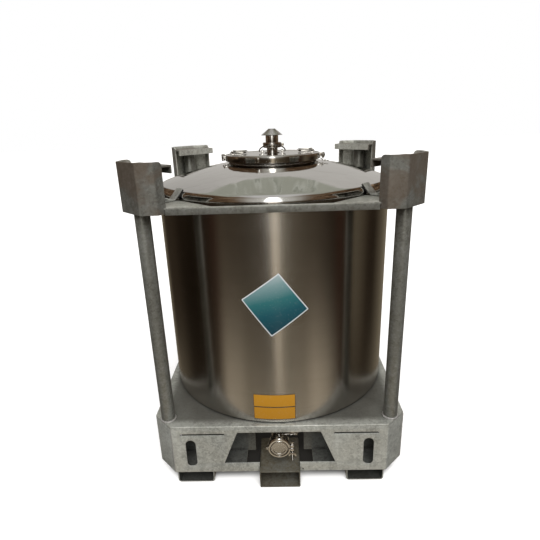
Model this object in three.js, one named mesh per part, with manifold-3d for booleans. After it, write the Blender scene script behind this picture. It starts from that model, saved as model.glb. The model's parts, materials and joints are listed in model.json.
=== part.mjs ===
// Stainless-steel intermediate bulk container: a round 1000-litre tank held in a galvanised,
// stackable steel frame. Millimetres, +Z up. The origin is the centre of the footprint on the
// floor; -Y is the front, where the outlet is.
import * as THREE from 'three';
import { mergeVertices } from 'three/addons/utils/BufferGeometryUtils.js';
import Module from 'manifold-3d';

const wasm = await Module();
wasm.setup();

// ---------- driving dimensions ----------
const GAP = 0.3;                 // air left between touching pieces

// base
const BASE_HALF = 565;           // half of the square base, outside the skirts
const BASE_CHAMFER = 86;         // leg of each cut corner
const DECK_TOP = 308;
const DECK_THICK = 8;
const DECK_HOLE_R = 500;         // the bottom dish hangs through this hole
const SKIRT_BOTTOM = 60;
const SKIRT_THICK = 6;
const WINDOW = { bottomHalf: 251, topHalf: 185, z0: 107, z1: 274 };
const SLOT = { x0: 374, x1: 419, z0: 94, z1: 236 };
const SLIT = { x0: 243, x1: 439, z0: 264.5, z1: 270 };
const RUNNER = { x0: 302.5, x1: 471, height: 59.7, thick: 5, corner: 15, halfLength: 561 };
const FOOT = { half: 91, height: 88, thick: 5, y0: -599, y1: -380 };
const EARTH_HOLE = { x: 105, z: 70, r: 4 };
const BEAM = {
  y: 427, half: 470, thick: 6, footInner: 155, notchHalf: 116, notchTop: 250,
  dipHalf: 262, dipTop: 284,     // the web dips here to clear the bottom dish
};

// uprights and top frame
const POST_R = 30.15;
const POST_WALL = 3.2;
const POST_XY = 500;             // posts stand at (+-500, +-500)
const HEAD_HALF = 580;           // outside of the corner heads, and of the whole container
const HEAD = { z0: 1256, z1: 1446, thick: 6, returnV: 116.7, faceU: 752.4, endU: 668.2 };
const SEAT = { top: 1431, thick: 6, u0: 628, flange: 30 };
const RING = {
  z0: 1252, z1: 1280, plate: 6, half: 563, hole: 553, gussetU: 549, flangeHalf: 394, headClear: 5,
};
const CLIP = { thick: 5, half: 20, u1: 632, boltU: 597, boltR: 9, top: 18 };
const PAD = { near: 32.6, far: 37, low: -26, high: 17, half: 21 };

// tank
const TANK_R = 545;
const TANK_WALL = 3;
const TANK_TOP = 1283;           // weld between shell and top dish
const CROWN_R = 1600;            // crown radius of both dishes
const KNUCKLE_R = 32;
const BOTTOM_WELD = 350;         // the bottom dish sits this high inside the shell
const NECK_R = 205;
const NECK_TOP = 1408;
const LID_R = 217;
const LID_TOP = 1428;

// outlet: axis height, elbow centre line and the stations along -Y
const OUTLET = { z: 190, r: 35, wall: 3, elbowY: -290, bend: 55, stemY: -530, ferruleR: 45.5 };

const STEPS = { big: 48, lid: 32, post: 16, small: 16 };

// ---------- materials ----------
function steel(name, color, roughness, metalness) {
  return new THREE.MeshStandardMaterial({ name, color, roughness, metalness });
}
const galvanised = steel('galvanised', 0xb0afaa, 0.5, 0.85);
const headZinc = steel('galvanised_dark', 0x77736c, 0.6, 0.8);
const brushed = steel('brushed_stainless', 0x8d857b, 0.35, 1.0);
const polished = steel('polished_stainless', 0xc2bfba, 0.08, 1.0);
const rubber = steel('rubber', 0x161616, 0.9, 0.0);

// ---------- solids ----------
function toSolid(geometry) {
  const bare = geometry.clone();
  for (const name of Object.keys(bare.attributes)) {
    if (name !== 'position') bare.deleteAttribute(name);
  }
  const merged = mergeVertices(bare, 1e-4);
  const mesh = new wasm.Mesh({
    numProp: 3,
    vertProperties: new Float32Array(merged.attributes.position.array),
    triVerts: new Uint32Array(merged.index.array),
  });
  return new wasm.Manifold(mesh);
}

function toGeometry(solid) {
  const mesh = solid.getMesh();
  const geometry = new THREE.BufferGeometry();
  geometry.setAttribute('position', new THREE.BufferAttribute(new Float32Array(mesh.vertProperties), 3));
  geometry.setIndex(new THREE.BufferAttribute(new Uint32Array(mesh.triVerts), 1));
  return geometry;
}

function join(...parts) {
  return toGeometry(parts.map(toSolid).reduce((sum, part) => sum.add(part)));
}

function cut(geometry, ...cutters) {
  return toGeometry(cutters.map(toSolid).reduce((rest, cutter) => rest.subtract(cutter), toSolid(geometry)));
}

// ---------- shape helpers ----------
function polygon(points, holes = []) {
  const shape = new THREE.Shape(points.map(([x, y]) => new THREE.Vector2(x, y)));
  shape.holes = holes.map((hole) => new THREE.Path(hole.map(([x, y]) => new THREE.Vector2(x, y))));
  return shape;
}

function circle(x, y, r, steps) {
  return Array.from({ length: steps }, (_, i) => {
    const a = (2 * Math.PI * i) / steps;
    return [x + r * Math.cos(a), y + r * Math.sin(a)];
  });
}

function arc(x, y, r, fromDeg, toDeg, steps) {
  return Array.from({ length: steps + 1 }, (_, i) => {
    const a = THREE.MathUtils.degToRad(fromDeg + ((toDeg - fromDeg) * i) / steps);
    return [x + r * Math.cos(a), y + r * Math.sin(a)];
  });
}

// A plan outline (x, y) raised from z0 to z1.
function raise(points, z0, z1, holes) {
  const geometry = new THREE.ExtrudeGeometry(polygon(points, holes), { depth: z1 - z0, bevelEnabled: false });
  return geometry.translate(0, 0, z0);
}

// A front-view outline (x, z) run from y0 to y1.
function runY(points, y0, y1, holes) {
  const geometry = new THREE.ExtrudeGeometry(polygon(points, holes), { depth: y1 - y0, bevelEnabled: false });
  return geometry.rotateX(Math.PI / 2).translate(0, y1, 0);
}

function box(x0, x1, y0, y1, z0, z1) {
  return new THREE.BoxGeometry(x1 - x0, y1 - y0, z1 - z0)
    .translate((x0 + x1) / 2, (y0 + y1) / 2, (z0 + z1) / 2);
}

// A profile (radius, height) turned about the Z axis; it closes on itself or on the axis.
function turn(profile, steps) {
  const vectors = profile.map(([r, z]) => new THREE.Vector2(r, z));
  const ordered = THREE.ShapeUtils.area(vectors) > 0 ? profile : [...profile].reverse();
  const onAxis = ordered[0][0] === 0 && ordered[ordered.length - 1][0] === 0;
  const points = onAxis ? ordered : [...ordered, ordered[0]];
  return new THREE.LatheGeometry(points.map(([r, z]) => new THREE.Vector2(r, z)), steps).rotateX(Math.PI / 2);
}

// The same, turned about an axis along -Y through (x, z): profile is (radius, distance forward).
function turnForward(profile, x, z, steps) {
  return turn(profile, steps).rotateX(Math.PI / 2).translate(x, 0, z);
}

function rod(points, radius, sides, steps) {
  const stations = points.map((p) => new THREE.Vector3(...p));
  const path = new THREE.CatmullRomCurve3(stations, false, 'catmullrom', 0.1);
  const section = polygon(circle(0, 0, radius, sides));
  return new THREE.ExtrudeGeometry(section, { steps, bevelEnabled: false, extrudePath: path });
}

// Corner pieces are drawn in the rear right quadrant, with u along the diagonal away from the
// centre and v across it.
function fromDiagonal(points) {
  return points.map(([u, v]) => [(u - v) / Math.SQRT2, (u + v) / Math.SQRT2]);
}

// An outline (u, z) in the diagonal's own plane, with its width across the diagonal.
function runAcrossDiagonal(points, v0, v1) {
  return runY(points, v0, v1).rotateZ(Math.PI / 4);
}

// ---------- object ----------
const container = new THREE.Group();

function add(name, geometry, material, turnsOf90 = 0) {
  const mesh = new THREE.Mesh(geometry, material);
  mesh.name = name;
  mesh.rotation.z = (turnsOf90 * Math.PI) / 2;
  container.add(mesh);
  return mesh;
}

const CORNERS = ['rear_right', 'rear_left', 'front_left', 'front_right'];

// ---------- base ----------
function deckPlate() {
  const inner = BASE_HALF - BASE_CHAMFER;
  const outline = [0, 1, 2, 3].flatMap((k) => {
    const a = (k * Math.PI) / 2;
    const spin = ([x, y]) => [x * Math.cos(a) - y * Math.sin(a), x * Math.sin(a) + y * Math.cos(a)];
    return [[BASE_HALF, inner], [inner, BASE_HALF]].map(spin);
  });
  const hole = circle(0, 0, DECK_HOLE_R, STEPS.big);
  return raise(outline, DECK_TOP - DECK_THICK, DECK_TOP, [hole]);
}

// One bent sheet: a side wall and the cut corner at its right-hand end, mitred to the next sheet.
function skirt(forOutlet) {
  const inner = BASE_HALF - BASE_CHAMFER;
  const shift = SKIRT_THICK * Math.tan(Math.PI / 8);
  const back = BASE_HALF - SKIRT_THICK;
  const slip = GAP / Math.SQRT2;
  const plan = [
    [-inner + GAP, -BASE_HALF],
    [inner, -BASE_HALF],
    [BASE_HALF - slip, -inner - slip],
    [back - slip, -inner + shift - slip],
    [inner - shift, -back],
    [-inner + shift + GAP, -back],
  ];
  const sheet = raise(plan, SKIRT_BOTTOM, DECK_TOP - DECK_THICK - GAP);
  const through = (points) => runY(points, -BASE_HALF - 10, -back + 10);
  const { bottomHalf, topHalf, z0, z1 } = WINDOW;
  const cutters = [through([[-bottomHalf, z0], [bottomHalf, z0], [topHalf, z1], [-topHalf, z1]])];
  const slotR = (SLOT.x1 - SLOT.x0) / 2;
  for (const side of [-1, 1]) {
    const x = (side * (SLOT.x0 + SLOT.x1)) / 2;
    cutters.push(through([
      ...arc(x, SLOT.z1 - slotR, slotR, 0, 180, 8),
      ...arc(x, SLOT.z0 + slotR, slotR, 180, 360, 8),
    ]));
    const [a, b] = [side * SLIT.x0, side * SLIT.x1].sort((p, q) => p - q);
    cutters.push(box(a, b, -BASE_HALF - 10, -back + 10, SLIT.z0, SLIT.z1));
  }
  if (forOutlet) {
    const half = FOOT.half + GAP;
    cutters.push(box(-half, half, -BASE_HALF - 10, -back + 10, SKIRT_BOTTOM - 10, WINDOW.z0 + 10));
    cutters.push(through(circle(EARTH_HOLE.x, EARTH_HOLE.z, EARTH_HOLE.r, 10)));
  }
  return cut(sheet, ...cutters);
}

// An upward-open channel with rounded bottom corners.
function runner() {
  const { x0, x1, height, thick, corner, halfLength } = RUNNER;
  const outer = [
    ...arc(x0 + corner, corner, corner, 180, 270, 4),
    ...arc(x1 - corner, corner, corner, 270, 360, 4),
  ];
  const inside = [
    ...arc(x1 - corner, corner, corner - thick, 360, 270, 4),
    ...arc(x0 + corner, corner, corner - thick, 270, 180, 4),
  ];
  const section = [
    [x0, height], ...outer, [x1, height],
    [x1 - thick, height], ...inside, [x0 + thick, height],
  ];
  return runY(section, -halfLength, halfLength);
}

// The box-section foot under the outlet, open at both ends.
function centreFoot() {
  const { half, height, thick, y0, y1 } = FOOT;
  const outer = [[-half, 0], [half, 0], [half, height], [-half, height]];
  const bore = [
    [-half + thick, thick], [half - thick, thick],
    [half - thick, height - thick], [-half + thick, height - thick],
  ];
  return runY(outer, y0, y1, [bore]);
}

// A cross beam: a web under the deck with foot plates that reach the skirt over each runner.
function crossBeam(notched) {
  const { y, half, thick, footInner, notchHalf, notchTop, dipHalf, dipTop } = BEAM;
  const top = DECK_TOP - DECK_THICK - GAP;
  const low = SKIRT_BOTTOM;
  const upper = [
    [half, low], [half, top], [dipHalf, top], [dipHalf, dipTop],
    [-dipHalf, dipTop], [-dipHalf, top], [-half, top], [-half, low],
  ];
  const notch = [[-notchHalf, low], [-notchHalf, notchTop], [notchHalf, notchTop], [notchHalf, low]];
  const web = runY(notched ? [...upper, ...notch] : upper, -y - thick / 2, -y + thick / 2);
  const reach = BASE_HALF - SKIRT_THICK - GAP;
  const plate = (side) => {
    const [a, b] = [side * footInner, side * half].sort((p, q) => p - q);
    return box(a, b, -reach, -y, low, low + thick);
  };
  return join(web, plate(-1), plate(1));
}

add('deck_plate', deckPlate(), galvanised);
['front', 'right', 'rear', 'left'].forEach((side, k) => {
  add(`skirt_${side}`, skirt(side === 'front'), galvanised, k);
});
add('runner_right', runner(), galvanised);
add('runner_left', runner(), galvanised, 2);
add('centre_foot', centreFoot(), galvanised);
add('cross_beam_front', crossBeam(true), galvanised);
add('cross_beam_rear', crossBeam(false), galvanised, 2);

// ---------- uprights, corner heads and top frame ----------
function post() {
  const bottom = DECK_TOP + GAP;
  const top = SEAT.top - SEAT.thick - GAP;
  const inner = circle(0, 0, POST_R - POST_WALL, STEPS.post);
  const tube = raise(circle(0, 0, POST_R, STEPS.post), bottom, top, [inner]);
  return tube.translate(POST_XY, POST_XY, 0);
}

// The head's sheet as a band in plan, grown by extra on every side.
function headBand(extra) {
  const { thick, returnV, faceU, endU } = HEAD;
  const side = (offset) => {
    const v = returnV + offset;
    const u = faceU + offset;
    const wall = (HEAD_HALF + offset) * Math.SQRT2;
    return [[endU - extra, v], [wall - v, v], [u, wall - u]];
  };
  const outer = side(extra);
  const inner = side(-thick - extra);
  const mirror = (points) => points.map(([u, v]) => [u, -v]);
  return fromDiagonal([
    ...mirror(outer), ...[...outer].reverse(), ...inner, ...mirror(inner).reverse(),
  ]);
}

function cornerHead() {
  const { z0, z1, endU, returnV } = HEAD;
  const r = 14;                  // rounding of the two free top corners
  const round = [...arc(endU + r, z1 - r, r, 90, 180, 5), [endU - 1, z1 + 1], [endU + r, z1 + 1]];
  const rounding = runAcrossDiagonal(round, -returnV - 10, returnV + 10);
  return cut(raise(headBand(0), z0, z1), rounding);
}

// The plate that the next container's corner stands on, with its turned-down inner edge.
function stackSeat() {
  const { top, thick, u0, flange } = SEAT;
  const clear = GAP + 0.1;
  const v = HEAD.returnV - HEAD.thick - clear;
  const wall = (HEAD_HALF - HEAD.thick - clear) * Math.SQRT2;
  const u1 = HEAD.faceU - HEAD.thick - clear;
  const shoulder = HEAD.endU - 1;
  const half = [[u0, HEAD.returnV], [shoulder, HEAD.returnV], [shoulder, v], [wall - v, v], [u1, wall - u1]];
  const outline = [...half.map(([u, w]) => [u, -w]), ...half.reverse()];
  const plate = raise(fromDiagonal(outline), top - thick, top);
  const edge = [[u0, top - flange], [u0 + thick, top - flange], [u0 + thick, top - 1], [u0, top - 1]];
  return join(plate, runAcrossDiagonal(edge, -HEAD.returnV, HEAD.returnV));
}

// A square with cut corners: half is half its width, and near half the length of a side.
function cutSquare(half, near) {
  return [
    [half, -near], [half, near], [near, half], [-near, half],
    [-half, near], [-half, -near], [-near, -half], [near, -half],
  ];
}

// One plate round the tank's shoulder, with a straight-edged gusset in each corner, its four outer
// edges turned down as ties between the heads.
function topRing() {
  const { z0, z1, plate, half, hole, gussetU, flangeHalf, headClear } = RING;
  const near = (HEAD.faceU - HEAD.thick) * Math.SQRT2 - headClear - half;
  const opening = cutSquare(hole, gussetU * Math.SQRT2 - hole);
  const sheet = raise(cutSquare(half, near), z1 - plate, z1, [opening]);
  const flanges = [0, 1, 2, 3].map((k) => (
    box(-flangeHalf, flangeHalf, -half, -half + plate, z0, z1 - 1).rotateZ((k * Math.PI) / 2)
  ));
  const cutters = [0, 1, 2, 3].flatMap((k) => {
    const band = raise(headBand(0.4), z0 - 10, HEAD.z1);
    const bore = raise(circle(POST_XY, POST_XY, POST_R + 1.2, STEPS.post), z0 - 10, z1 + 10);
    return [band, bore].map((cutter) => cutter.rotateZ((k * Math.PI) / 2));
  });
  return cut(join(sheet, ...flanges), ...cutters);
}

// Knuckle centre of the top dish; the hold-down strap and its pad lie on a 45 degree slope off it,
// at a distance from the centre and a place along the slope.
const KNUCKLE = { r: TANK_R - KNUCKLE_R, z: TANK_TOP };

function onSlope(distance, along) {
  return [
    KNUCKLE.r + (distance - along) / Math.SQRT2,
    KNUCKLE.z + (distance + along) / Math.SQRT2,
  ];
}

// A bent strap bolted to the ring plate, holding the tank down through a rubber pad.
function holdDownClip() {
  const { thick, half, u1, boltU, boltR, top } = CLIP;
  const z = RING.z1 + GAP;
  const near = PAD.far + GAP;
  const bendU = (distance, height) => distance * Math.SQRT2 + KNUCKLE.r + KNUCKLE.z - height;
  const strap = [
    [u1, z], [u1, z + thick], [bendU(near + thick, z + thick), z + thick],
    onSlope(near + thick, top), onSlope(near, top), [bendU(near, z), z],
  ];
  const bolt = raise(circle(boltU, 0, boltR, 6), z + thick - 1, z + thick + 8).rotateZ(Math.PI / 4);
  return join(runAcrossDiagonal(strap, -half, half), bolt);
}

function clipPad() {
  const { near, far, low, high, half } = PAD;
  const block = [onSlope(near, low), onSlope(far, low), onSlope(far, high), onSlope(near, high)];
  return runAcrossDiagonal(block, -half, half);
}

CORNERS.forEach((corner, k) => {
  add(`post_${corner}`, post(), galvanised, k);
  add(`corner_head_${corner}`, cornerHead(), headZinc, k);
  add(`stack_seat_${corner}`, stackSeat(), headZinc, k);
  add(`hold_down_clip_${corner}`, holdDownClip(), galvanised, k);
  add(`clip_pad_${corner}`, clipPad(), rubber, k);
});
add('top_ring', topRing(), galvanised);

// ---------- tank ----------
// Points (radius, height above the weld) on a dish from its edge to innerR. inset is 0 on the
// outer face and the sheet's thickness on the inner one.
function dishCurve(edgeR, innerR, inset) {
  const knuckleX = edgeR - KNUCKLE_R;
  const crownZ = -Math.sqrt((CROWN_R - KNUCKLE_R) ** 2 - knuckleX ** 2);
  const meet = THREE.MathUtils.radToDeg(Math.atan2(-crownZ, knuckleX));
  const knuckle = arc(knuckleX, 0, KNUCKLE_R - inset, 0, meet, 3);
  const lastR = knuckle[knuckle.length - 1][0];
  const crown = [1, 2, 3].map((i) => {
    const r = lastR + ((innerR - lastR) * i) / 3;
    return [r, crownZ + Math.sqrt((CROWN_R - inset) ** 2 - r ** 2)];
  });
  return [...knuckle, ...crown];
}

function dishHeight(r) {
  const crownZ = -Math.sqrt((CROWN_R - KNUCKLE_R) ** 2 - (TANK_R - KNUCKLE_R) ** 2);
  return crownZ + Math.sqrt(CROWN_R ** 2 - r ** 2);
}

function tankShell() {
  const z0 = DECK_TOP + 5.4;
  const inner = TANK_R - TANK_WALL;
  return turn([[inner, z0], [TANK_R, z0], [TANK_R, TANK_TOP], [inner, TANK_TOP]], STEPS.big);
}

function seatRing() {
  const z0 = DECK_TOP + GAP;
  return turn([[512, z0], [542, z0], [542, z0 + 4.8], [512, z0 + 4.8]], STEPS.big);
}

function topDish() {
  const hole = NECK_R + GAP;
  const weld = TANK_TOP + GAP;
  const outer = dishCurve(TANK_R, hole, 0);
  const inner = dishCurve(TANK_R, hole, TANK_WALL).reverse();
  return turn([...outer, ...inner].map(([r, h]) => [r, weld + h]), STEPS.big);
}

function bottomDish() {
  const edge = TANK_R - TANK_WALL - GAP;
  const outer = dishCurve(edge, 0, 0);
  const inner = dishCurve(edge, 0, TANK_WALL).reverse();
  const bowl = [...inner, ...outer].map(([r, h]) => [r, BOTTOM_WELD - h]);
  const drain = raise(circle(0, OUTLET.elbowY, OUTLET.r - OUTLET.wall, STEPS.small), 200, 320);
  return cut(turn(bowl, STEPS.big), drain);
}

function manholeNeck() {
  const inner = NECK_R - 6;
  return turn([
    [inner, 1374], [NECK_R, 1374], [NECK_R, NECK_TOP - 6], [LID_R, NECK_TOP - 6],
    [LID_R, NECK_TOP], [inner, NECK_TOP],
  ], STEPS.big);
}

add('seat_ring', seatRing(), rubber);
add('tank_shell', tankShell(), brushed);
add('bottom_dish', bottomDish(), brushed);
add('top_dish', topDish(), polished);
add('manhole_neck', manholeNeck(), polished);

// ---------- lid ----------
const GASKET_TOP = NECK_TOP + 4;
const HANDLE = { x: 187, reach: 62, half: 60, rod: 4, z: LID_TOP + 8 };
const BAIL = { half: 61, reach: 58, rod: 3, z: LID_TOP + 6, raised: 33 };

function lidGasket() {
  return turn([
    [201, NECK_TOP + GAP], [215, NECK_TOP + GAP], [215, GASKET_TOP], [201, GASKET_TOP],
  ], STEPS.lid);
}

// Each pair of lugs carries the turned-in ends of one handle.
function lug(x, y, alongX) {
  const w = 4;                   // half thickness along the pivot
  const d = 9;                   // half width across it
  const [hx, hy] = alongX ? [w, d] : [d, w];
  return box(x - hx, x + hx, y - hy, y + hy, LID_TOP - 1, LID_TOP + 15);
}

function lid() {
  const under = GASKET_TOP + GAP;
  const panel = turn([
    [0, LID_TOP - 5], [194, LID_TOP - 5], [197, under], [LID_R, under],
    [LID_R, under + 8], [206, under + 8], [203, LID_TOP], [0, LID_TOP],
  ], STEPS.lid);
  const handleLugs = [-1, 1].flatMap((sx) => [-1, 1].map((sy) => lug(sx * HANDLE.x, sy * 46, false)));
  const bailLugs = [-1, 1].map((sx) => lug(sx * (BAIL.half - 14), 0, true));
  const whole = join(panel, ...handleLugs, ...bailLugs);
  const bores = [-1, 1].map((sx) => (
    runY(circle(sx * HANDLE.x, HANDLE.z, HANDLE.rod + 0.6, 12), -60, 60)
  ));
  const bailBore = runY(circle(0, BAIL.z, BAIL.rod + 0.9, 12), -70, 70).rotateZ(Math.PI / 2);
  const vent = raise(circle(0, 0, 18, STEPS.small), LID_TOP - 20, LID_TOP + 20);
  return cut(whole, ...bores, bailBore, vent);
}

function lidHandle() {
  const { x, reach, half, rod: r, z } = HANDLE;
  const bend = 9;
  return rod([
    [x, -40, z], [x, -half + bend, z], [x - bend * 0.3, -half + bend * 0.3, z], [x - bend, -half, z],
    [x - reach + bend, -half, z], [x - reach + bend * 0.3, -half + bend * 0.3, z],
    [x - reach, -half + bend, z], [x - reach, half - bend, z],
    [x - reach + bend * 0.3, half - bend * 0.3, z], [x - reach + bend, half, z],
    [x - bend, half, z], [x - bend * 0.3, half - bend * 0.3, z], [x, half - bend, z], [x, 40, z],
  ], r, 6, 32);
}

// The wire bail leans forward against the relief valve's clamp.
function bailHandle() {
  const { half, reach, rod: r, z, raised } = BAIL;
  const bend = 7;
  const arch = arc(0, 0, 1, 180, 360, 12).map(([c, s]) => [half * c, -bend + (reach - bend) * s, 0]);
  const elbow = [half - bend * 0.3, -bend * 0.3, 0];
  const end = [[half - bend, 0, 0], [half - 19, 0, 0]];
  const flip = ([x, y, h]) => [-x, y, h];
  const loop = rod([
    flip(end[1]), flip(end[0]), flip(elbow), ...arch, elbow, ...end,
  ], r, 6, 36);
  return loop.rotateX(THREE.MathUtils.degToRad(-raised)).translate(0, 0, z);
}

add('lid_gasket', lidGasket(), rubber);
add('lid', lid(), polished);
add('lid_handle_right', lidHandle(), polished);
add('lid_handle_left', lidHandle(), polished, 2);
add('bail_handle', bailHandle(), polished);

// ---------- lid clamp ring ----------
const CLAMP = { inner: 219, outer: 224, lip: 209, z0: 1398, z1: 1426, pinX: -236, screwX: 240, screwZ: 1412 };

// Half of the split clamp ring: web and top lip, from startDeg over 180 degrees less the splits.
function clampHalf(startDeg) {
  const { inner, outer, lip, z0, z1 } = CLAMP;
  const split = 1.6;
  const [a, b] = [startDeg + split, startDeg + 180 - split];
  const sector = (r0, r1) => [...arc(0, 0, r1, a, b, 20), ...arc(0, 0, r0, b, a, 20)];
  const web = raise(sector(inner, outer), z0, z1);
  const top = raise(sector(lip, outer), GASKET_TOP + 9, z1);
  return [web, top];
}

// The front half has the pivot barrel's middle knuckle, the clamping lug and a seal lug.
function clampRingFront() {
  const { pinX, screwX, screwZ, outer } = CLAMP;
  const barrel = raise(circle(pinX, 0, 8, 12), 1407, 1417);
  const arm = box(pinX, -outer + 1, -12, -7, 1407, 1417);
  const screwLug = box(outer - 2, screwX + 10, -16, -7, 1403, 1421);
  const sealLug = box(outer - 2, outer + 9, -9, 9, 1402, 1422).rotateZ(THREE.MathUtils.degToRad(-107));
  const pinBore = raise(circle(pinX, 0, 4.6, 12), 1395, 1430);
  const screwBore = runY(circle(screwX, screwZ, 4.6, 12), -30, 30);
  return cut(join(...clampHalf(180), barrel, arm, screwLug, sealLug), pinBore, screwBore);
}

// The rear half has the outer knuckles, the pin through them and the other clamping lug.
function clampRingRear() {
  const { pinX, screwX, screwZ, outer } = CLAMP;
  const knuckles = [[1397, 1406.6], [1417.4, 1427]].flatMap(([z0, z1]) => [
    raise(circle(pinX, 0, 8, 12), z0, z1),
    box(pinX, -outer + 1, 4, 9, z0, z1),
  ]);
  const pin = raise(circle(pinX, 0, 4, 12), 1395, 1429);
  const screwLug = box(outer - 2, screwX + 10, 7, 16, 1403, 1421);
  const screwBore = runY(circle(screwX, screwZ, 6.5, 12), -30, 30);
  return cut(join(...clampHalf(0), ...knuckles, pin, screwLug), screwBore);
}

// The wing screw turns in the front lug and reaches through the rear one.
function clampScrew() {
  const { screwX, screwZ } = CLAMP;
  const shank = runY(circle(screwX, screwZ, 4, 12), -38, 20);
  const collar = runY(circle(screwX, screwZ, 8, 12), -30, -16.5);
  const wings = [0, 1].map((k) => (
    runY([[-4, 0], [4, 0], [5, 11], [2, 14], [-2, 14], [-5, 11]], -29, -25)
      .rotateY(k * Math.PI).translate(screwX, 0, screwZ)
  ));
  return join(shank, collar, ...wings);
}

add('clamp_ring_front', clampRingFront(), polished);
add('clamp_ring_rear', clampRingRear(), polished);
add('clamp_screw', clampScrew(), polished);

// A short chain from the clamp's side of the lid, its end ring lying on the dish. Links turn by
// a quarter from one to the next and meet where they hook together.
function retainingChain() {
  const centres = [[227, -50, 1403.4], [231, -51, 1394.4], [239.8, -53, 1390.8], [251.8, -56.5, 1389]]
    .map((c) => new THREE.Vector3(...c));
  const links = centres.map((centre, i) => {
    const before = centres[Math.max(i - 1, 0)];
    const after = centres[Math.min(i + 1, centres.length - 1)];
    const along = after.clone().sub(before).normalize();
    const level = new THREE.Vector3(0, 0, 1).cross(along).normalize();
    const across = i % 2 ? level : along.clone().cross(level);
    const basis = new THREE.Matrix4().makeBasis(along, across, along.clone().cross(across));
    const size = i === centres.length - 1 ? 8 : 5.5;
    return new THREE.TorusGeometry(size, 1.5, 5, 8).applyMatrix4(basis).translate(...centre.toArray());
  });
  return join(...links);
}

add('retaining_chain', retainingChain(), polished);

// ---------- relief valve on the lid ----------
const RELIEF = { lowR: 26, highR: 30, ferruleR: 37, split: 1463, hoodR: 50, hoodTop: 1536 };

function reliefBase() {
  const { lowR, ferruleR, split } = RELIEF;
  const z0 = LID_TOP + GAP;
  return turn([
    [20, z0], [35, z0], [35, z0 + 3], [lowR, z0 + 3], [lowR, split - 5],
    [ferruleR, split - 3], [ferruleR, split], [20, split],
  ], STEPS.small);
}

function reliefBody() {
  const { highR, ferruleR, split } = RELIEF;
  const z0 = split + GAP;
  const tube = turn([
    [15, z0], [ferruleR, z0], [ferruleR, z0 + 3], [highR, z0 + 5], [highR, 1520],
    [26, 1520], [26, z0 + 4], [15, z0 + 4],
  ], STEPS.small);
  const ports = [0, 1].map((k) => (
    box(-50, 50, -8, 8, 1510, 1517).rotateZ((k * Math.PI) / 2 + Math.PI / 4)
  ));
  return cut(tube, ...ports);
}

function reliefHood() {
  const { hoodR, hoodTop } = RELIEF;
  return turn([
    [0, 1520.4], [31, 1520.4], [47.5, 1507.5], [hoodR, 1507.5], [hoodR, 1509.5],
    [17, hoodTop - 1], [15, hoodTop], [0, hoodTop],
  ], STEPS.small);
}

// The split collar that clamps the two ferrules, with its wing nut at the right.
function reliefClamp() {
  const z0 = 1451;
  const z1 = 1475;
  const inner = RELIEF.ferruleR + 0.6;
  const ring = turn([
    [31, z0], [41, z0], [44, z0 + 4], [44, z1 - 4], [41, z1], [31.5, z1], [31.5, z1 - 3],
    [inner, z1 - 6], [inner, z0 + 5], [31, z0 + 2],
  ], STEPS.small);
  const lugs = box(42, 56, -10, 10, 1457, 1469);
  const bolt = runY(circle(50, 1463, 3.5, 10), -20, 13);
  const wings = box(47, 53, -19, -14, 1455, 1473);
  return join(ring, lugs, bolt, wings);
}

function reliefPoppet() {
  const seat = RELIEF.split + GAP + 4.4;
  return turn([[0, seat], [23, seat], [23, seat + 4], [4, seat + 4], [4, 1500], [0, 1500]], STEPS.small);
}

const SPRING = { r: 11, wire: 1.2, z0: 1473.8, z1: 1518.8, turns: 5 };

function reliefSpring() {
  class Helix extends THREE.Curve {
    getPoint(t, target = new THREE.Vector3()) {
      const a = t * SPRING.turns * 2 * Math.PI;
      const z = SPRING.z0 + (SPRING.z1 - SPRING.z0) * t;
      return target.set(SPRING.r * Math.cos(a), SPRING.r * Math.sin(a), z);
    }
  }
  const section = polygon(circle(0, 0, SPRING.wire, 5));
  return new THREE.ExtrudeGeometry(section, { steps: 50, bevelEnabled: false, extrudePath: new Helix() });
}

add('relief_base', reliefBase(), polished);
add('relief_body', reliefBody(), polished);
add('relief_clamp', reliefClamp(), polished);
add('relief_hood', reliefHood(), brushed);
add('relief_poppet', reliefPoppet(), brushed);
add('relief_spring', reliefSpring(), polished);

// ---------- outlet ----------
function outletPipe() {
  const { z, r, wall, elbowY, bend, stemY } = OUTLET;
  const top = BOTTOM_WELD - dishHeight(0) + 45;
  const quarter = arc(elbowY - bend, z + bend, bend, 0, -90, 6).map(([y, h]) => [0, y, h]);
  const path = [[0, elbowY, top], ...quarter, [0, stemY + 16 + GAP, z]];
  const section = polygon(circle(0, 0, r, STEPS.small), [circle(0, 0, r - wall, STEPS.small)]);
  const stations = path.map((p) => new THREE.Vector3(...p));
  const spline = new THREE.CatmullRomCurve3(stations, false, 'catmullrom', 0.2);
  const pipe = new THREE.ExtrudeGeometry(section, { steps: 12, bevelEnabled: false, extrudePath: spline });
  const dishBelow = dishCurve(TANK_R - TANK_WALL - GAP, 0, 0).map(([p, h]) => [p, BOTTOM_WELD - h - GAP]);
  const above = turn([[0, 420], [530, 420], ...dishBelow.slice(1)], STEPS.big);
  return cut(pipe, above);
}

// Butterfly valve body with the ferrule that the cap seals on, turned about the outlet's axis.
function valveBody() {
  const { z, r, wall, stemY, ferruleR } = OUTLET;
  const bore = r - wall;
  const f = -stemY;
  const ring = turnForward([
    [bore, f - 15.7], [44, f - 15.7], [44, f + 15], [r, f + 15], [r, f + 24], [ferruleR, f + 26.5],
    [ferruleR, f + 29.5], [bore, f + 29.5], [bore, f + 8], [35.3, f + 8], [35.3, f - 8], [bore, f - 8],
  ], 0, z, 24);
  const neck = raise(circle(0, stemY, 13, 16), z + 38, z + 45);
  const stemBore = raise(circle(0, stemY, 7.5, 16), z, z + 60);
  return cut(join(ring, neck), stemBore);
}

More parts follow.
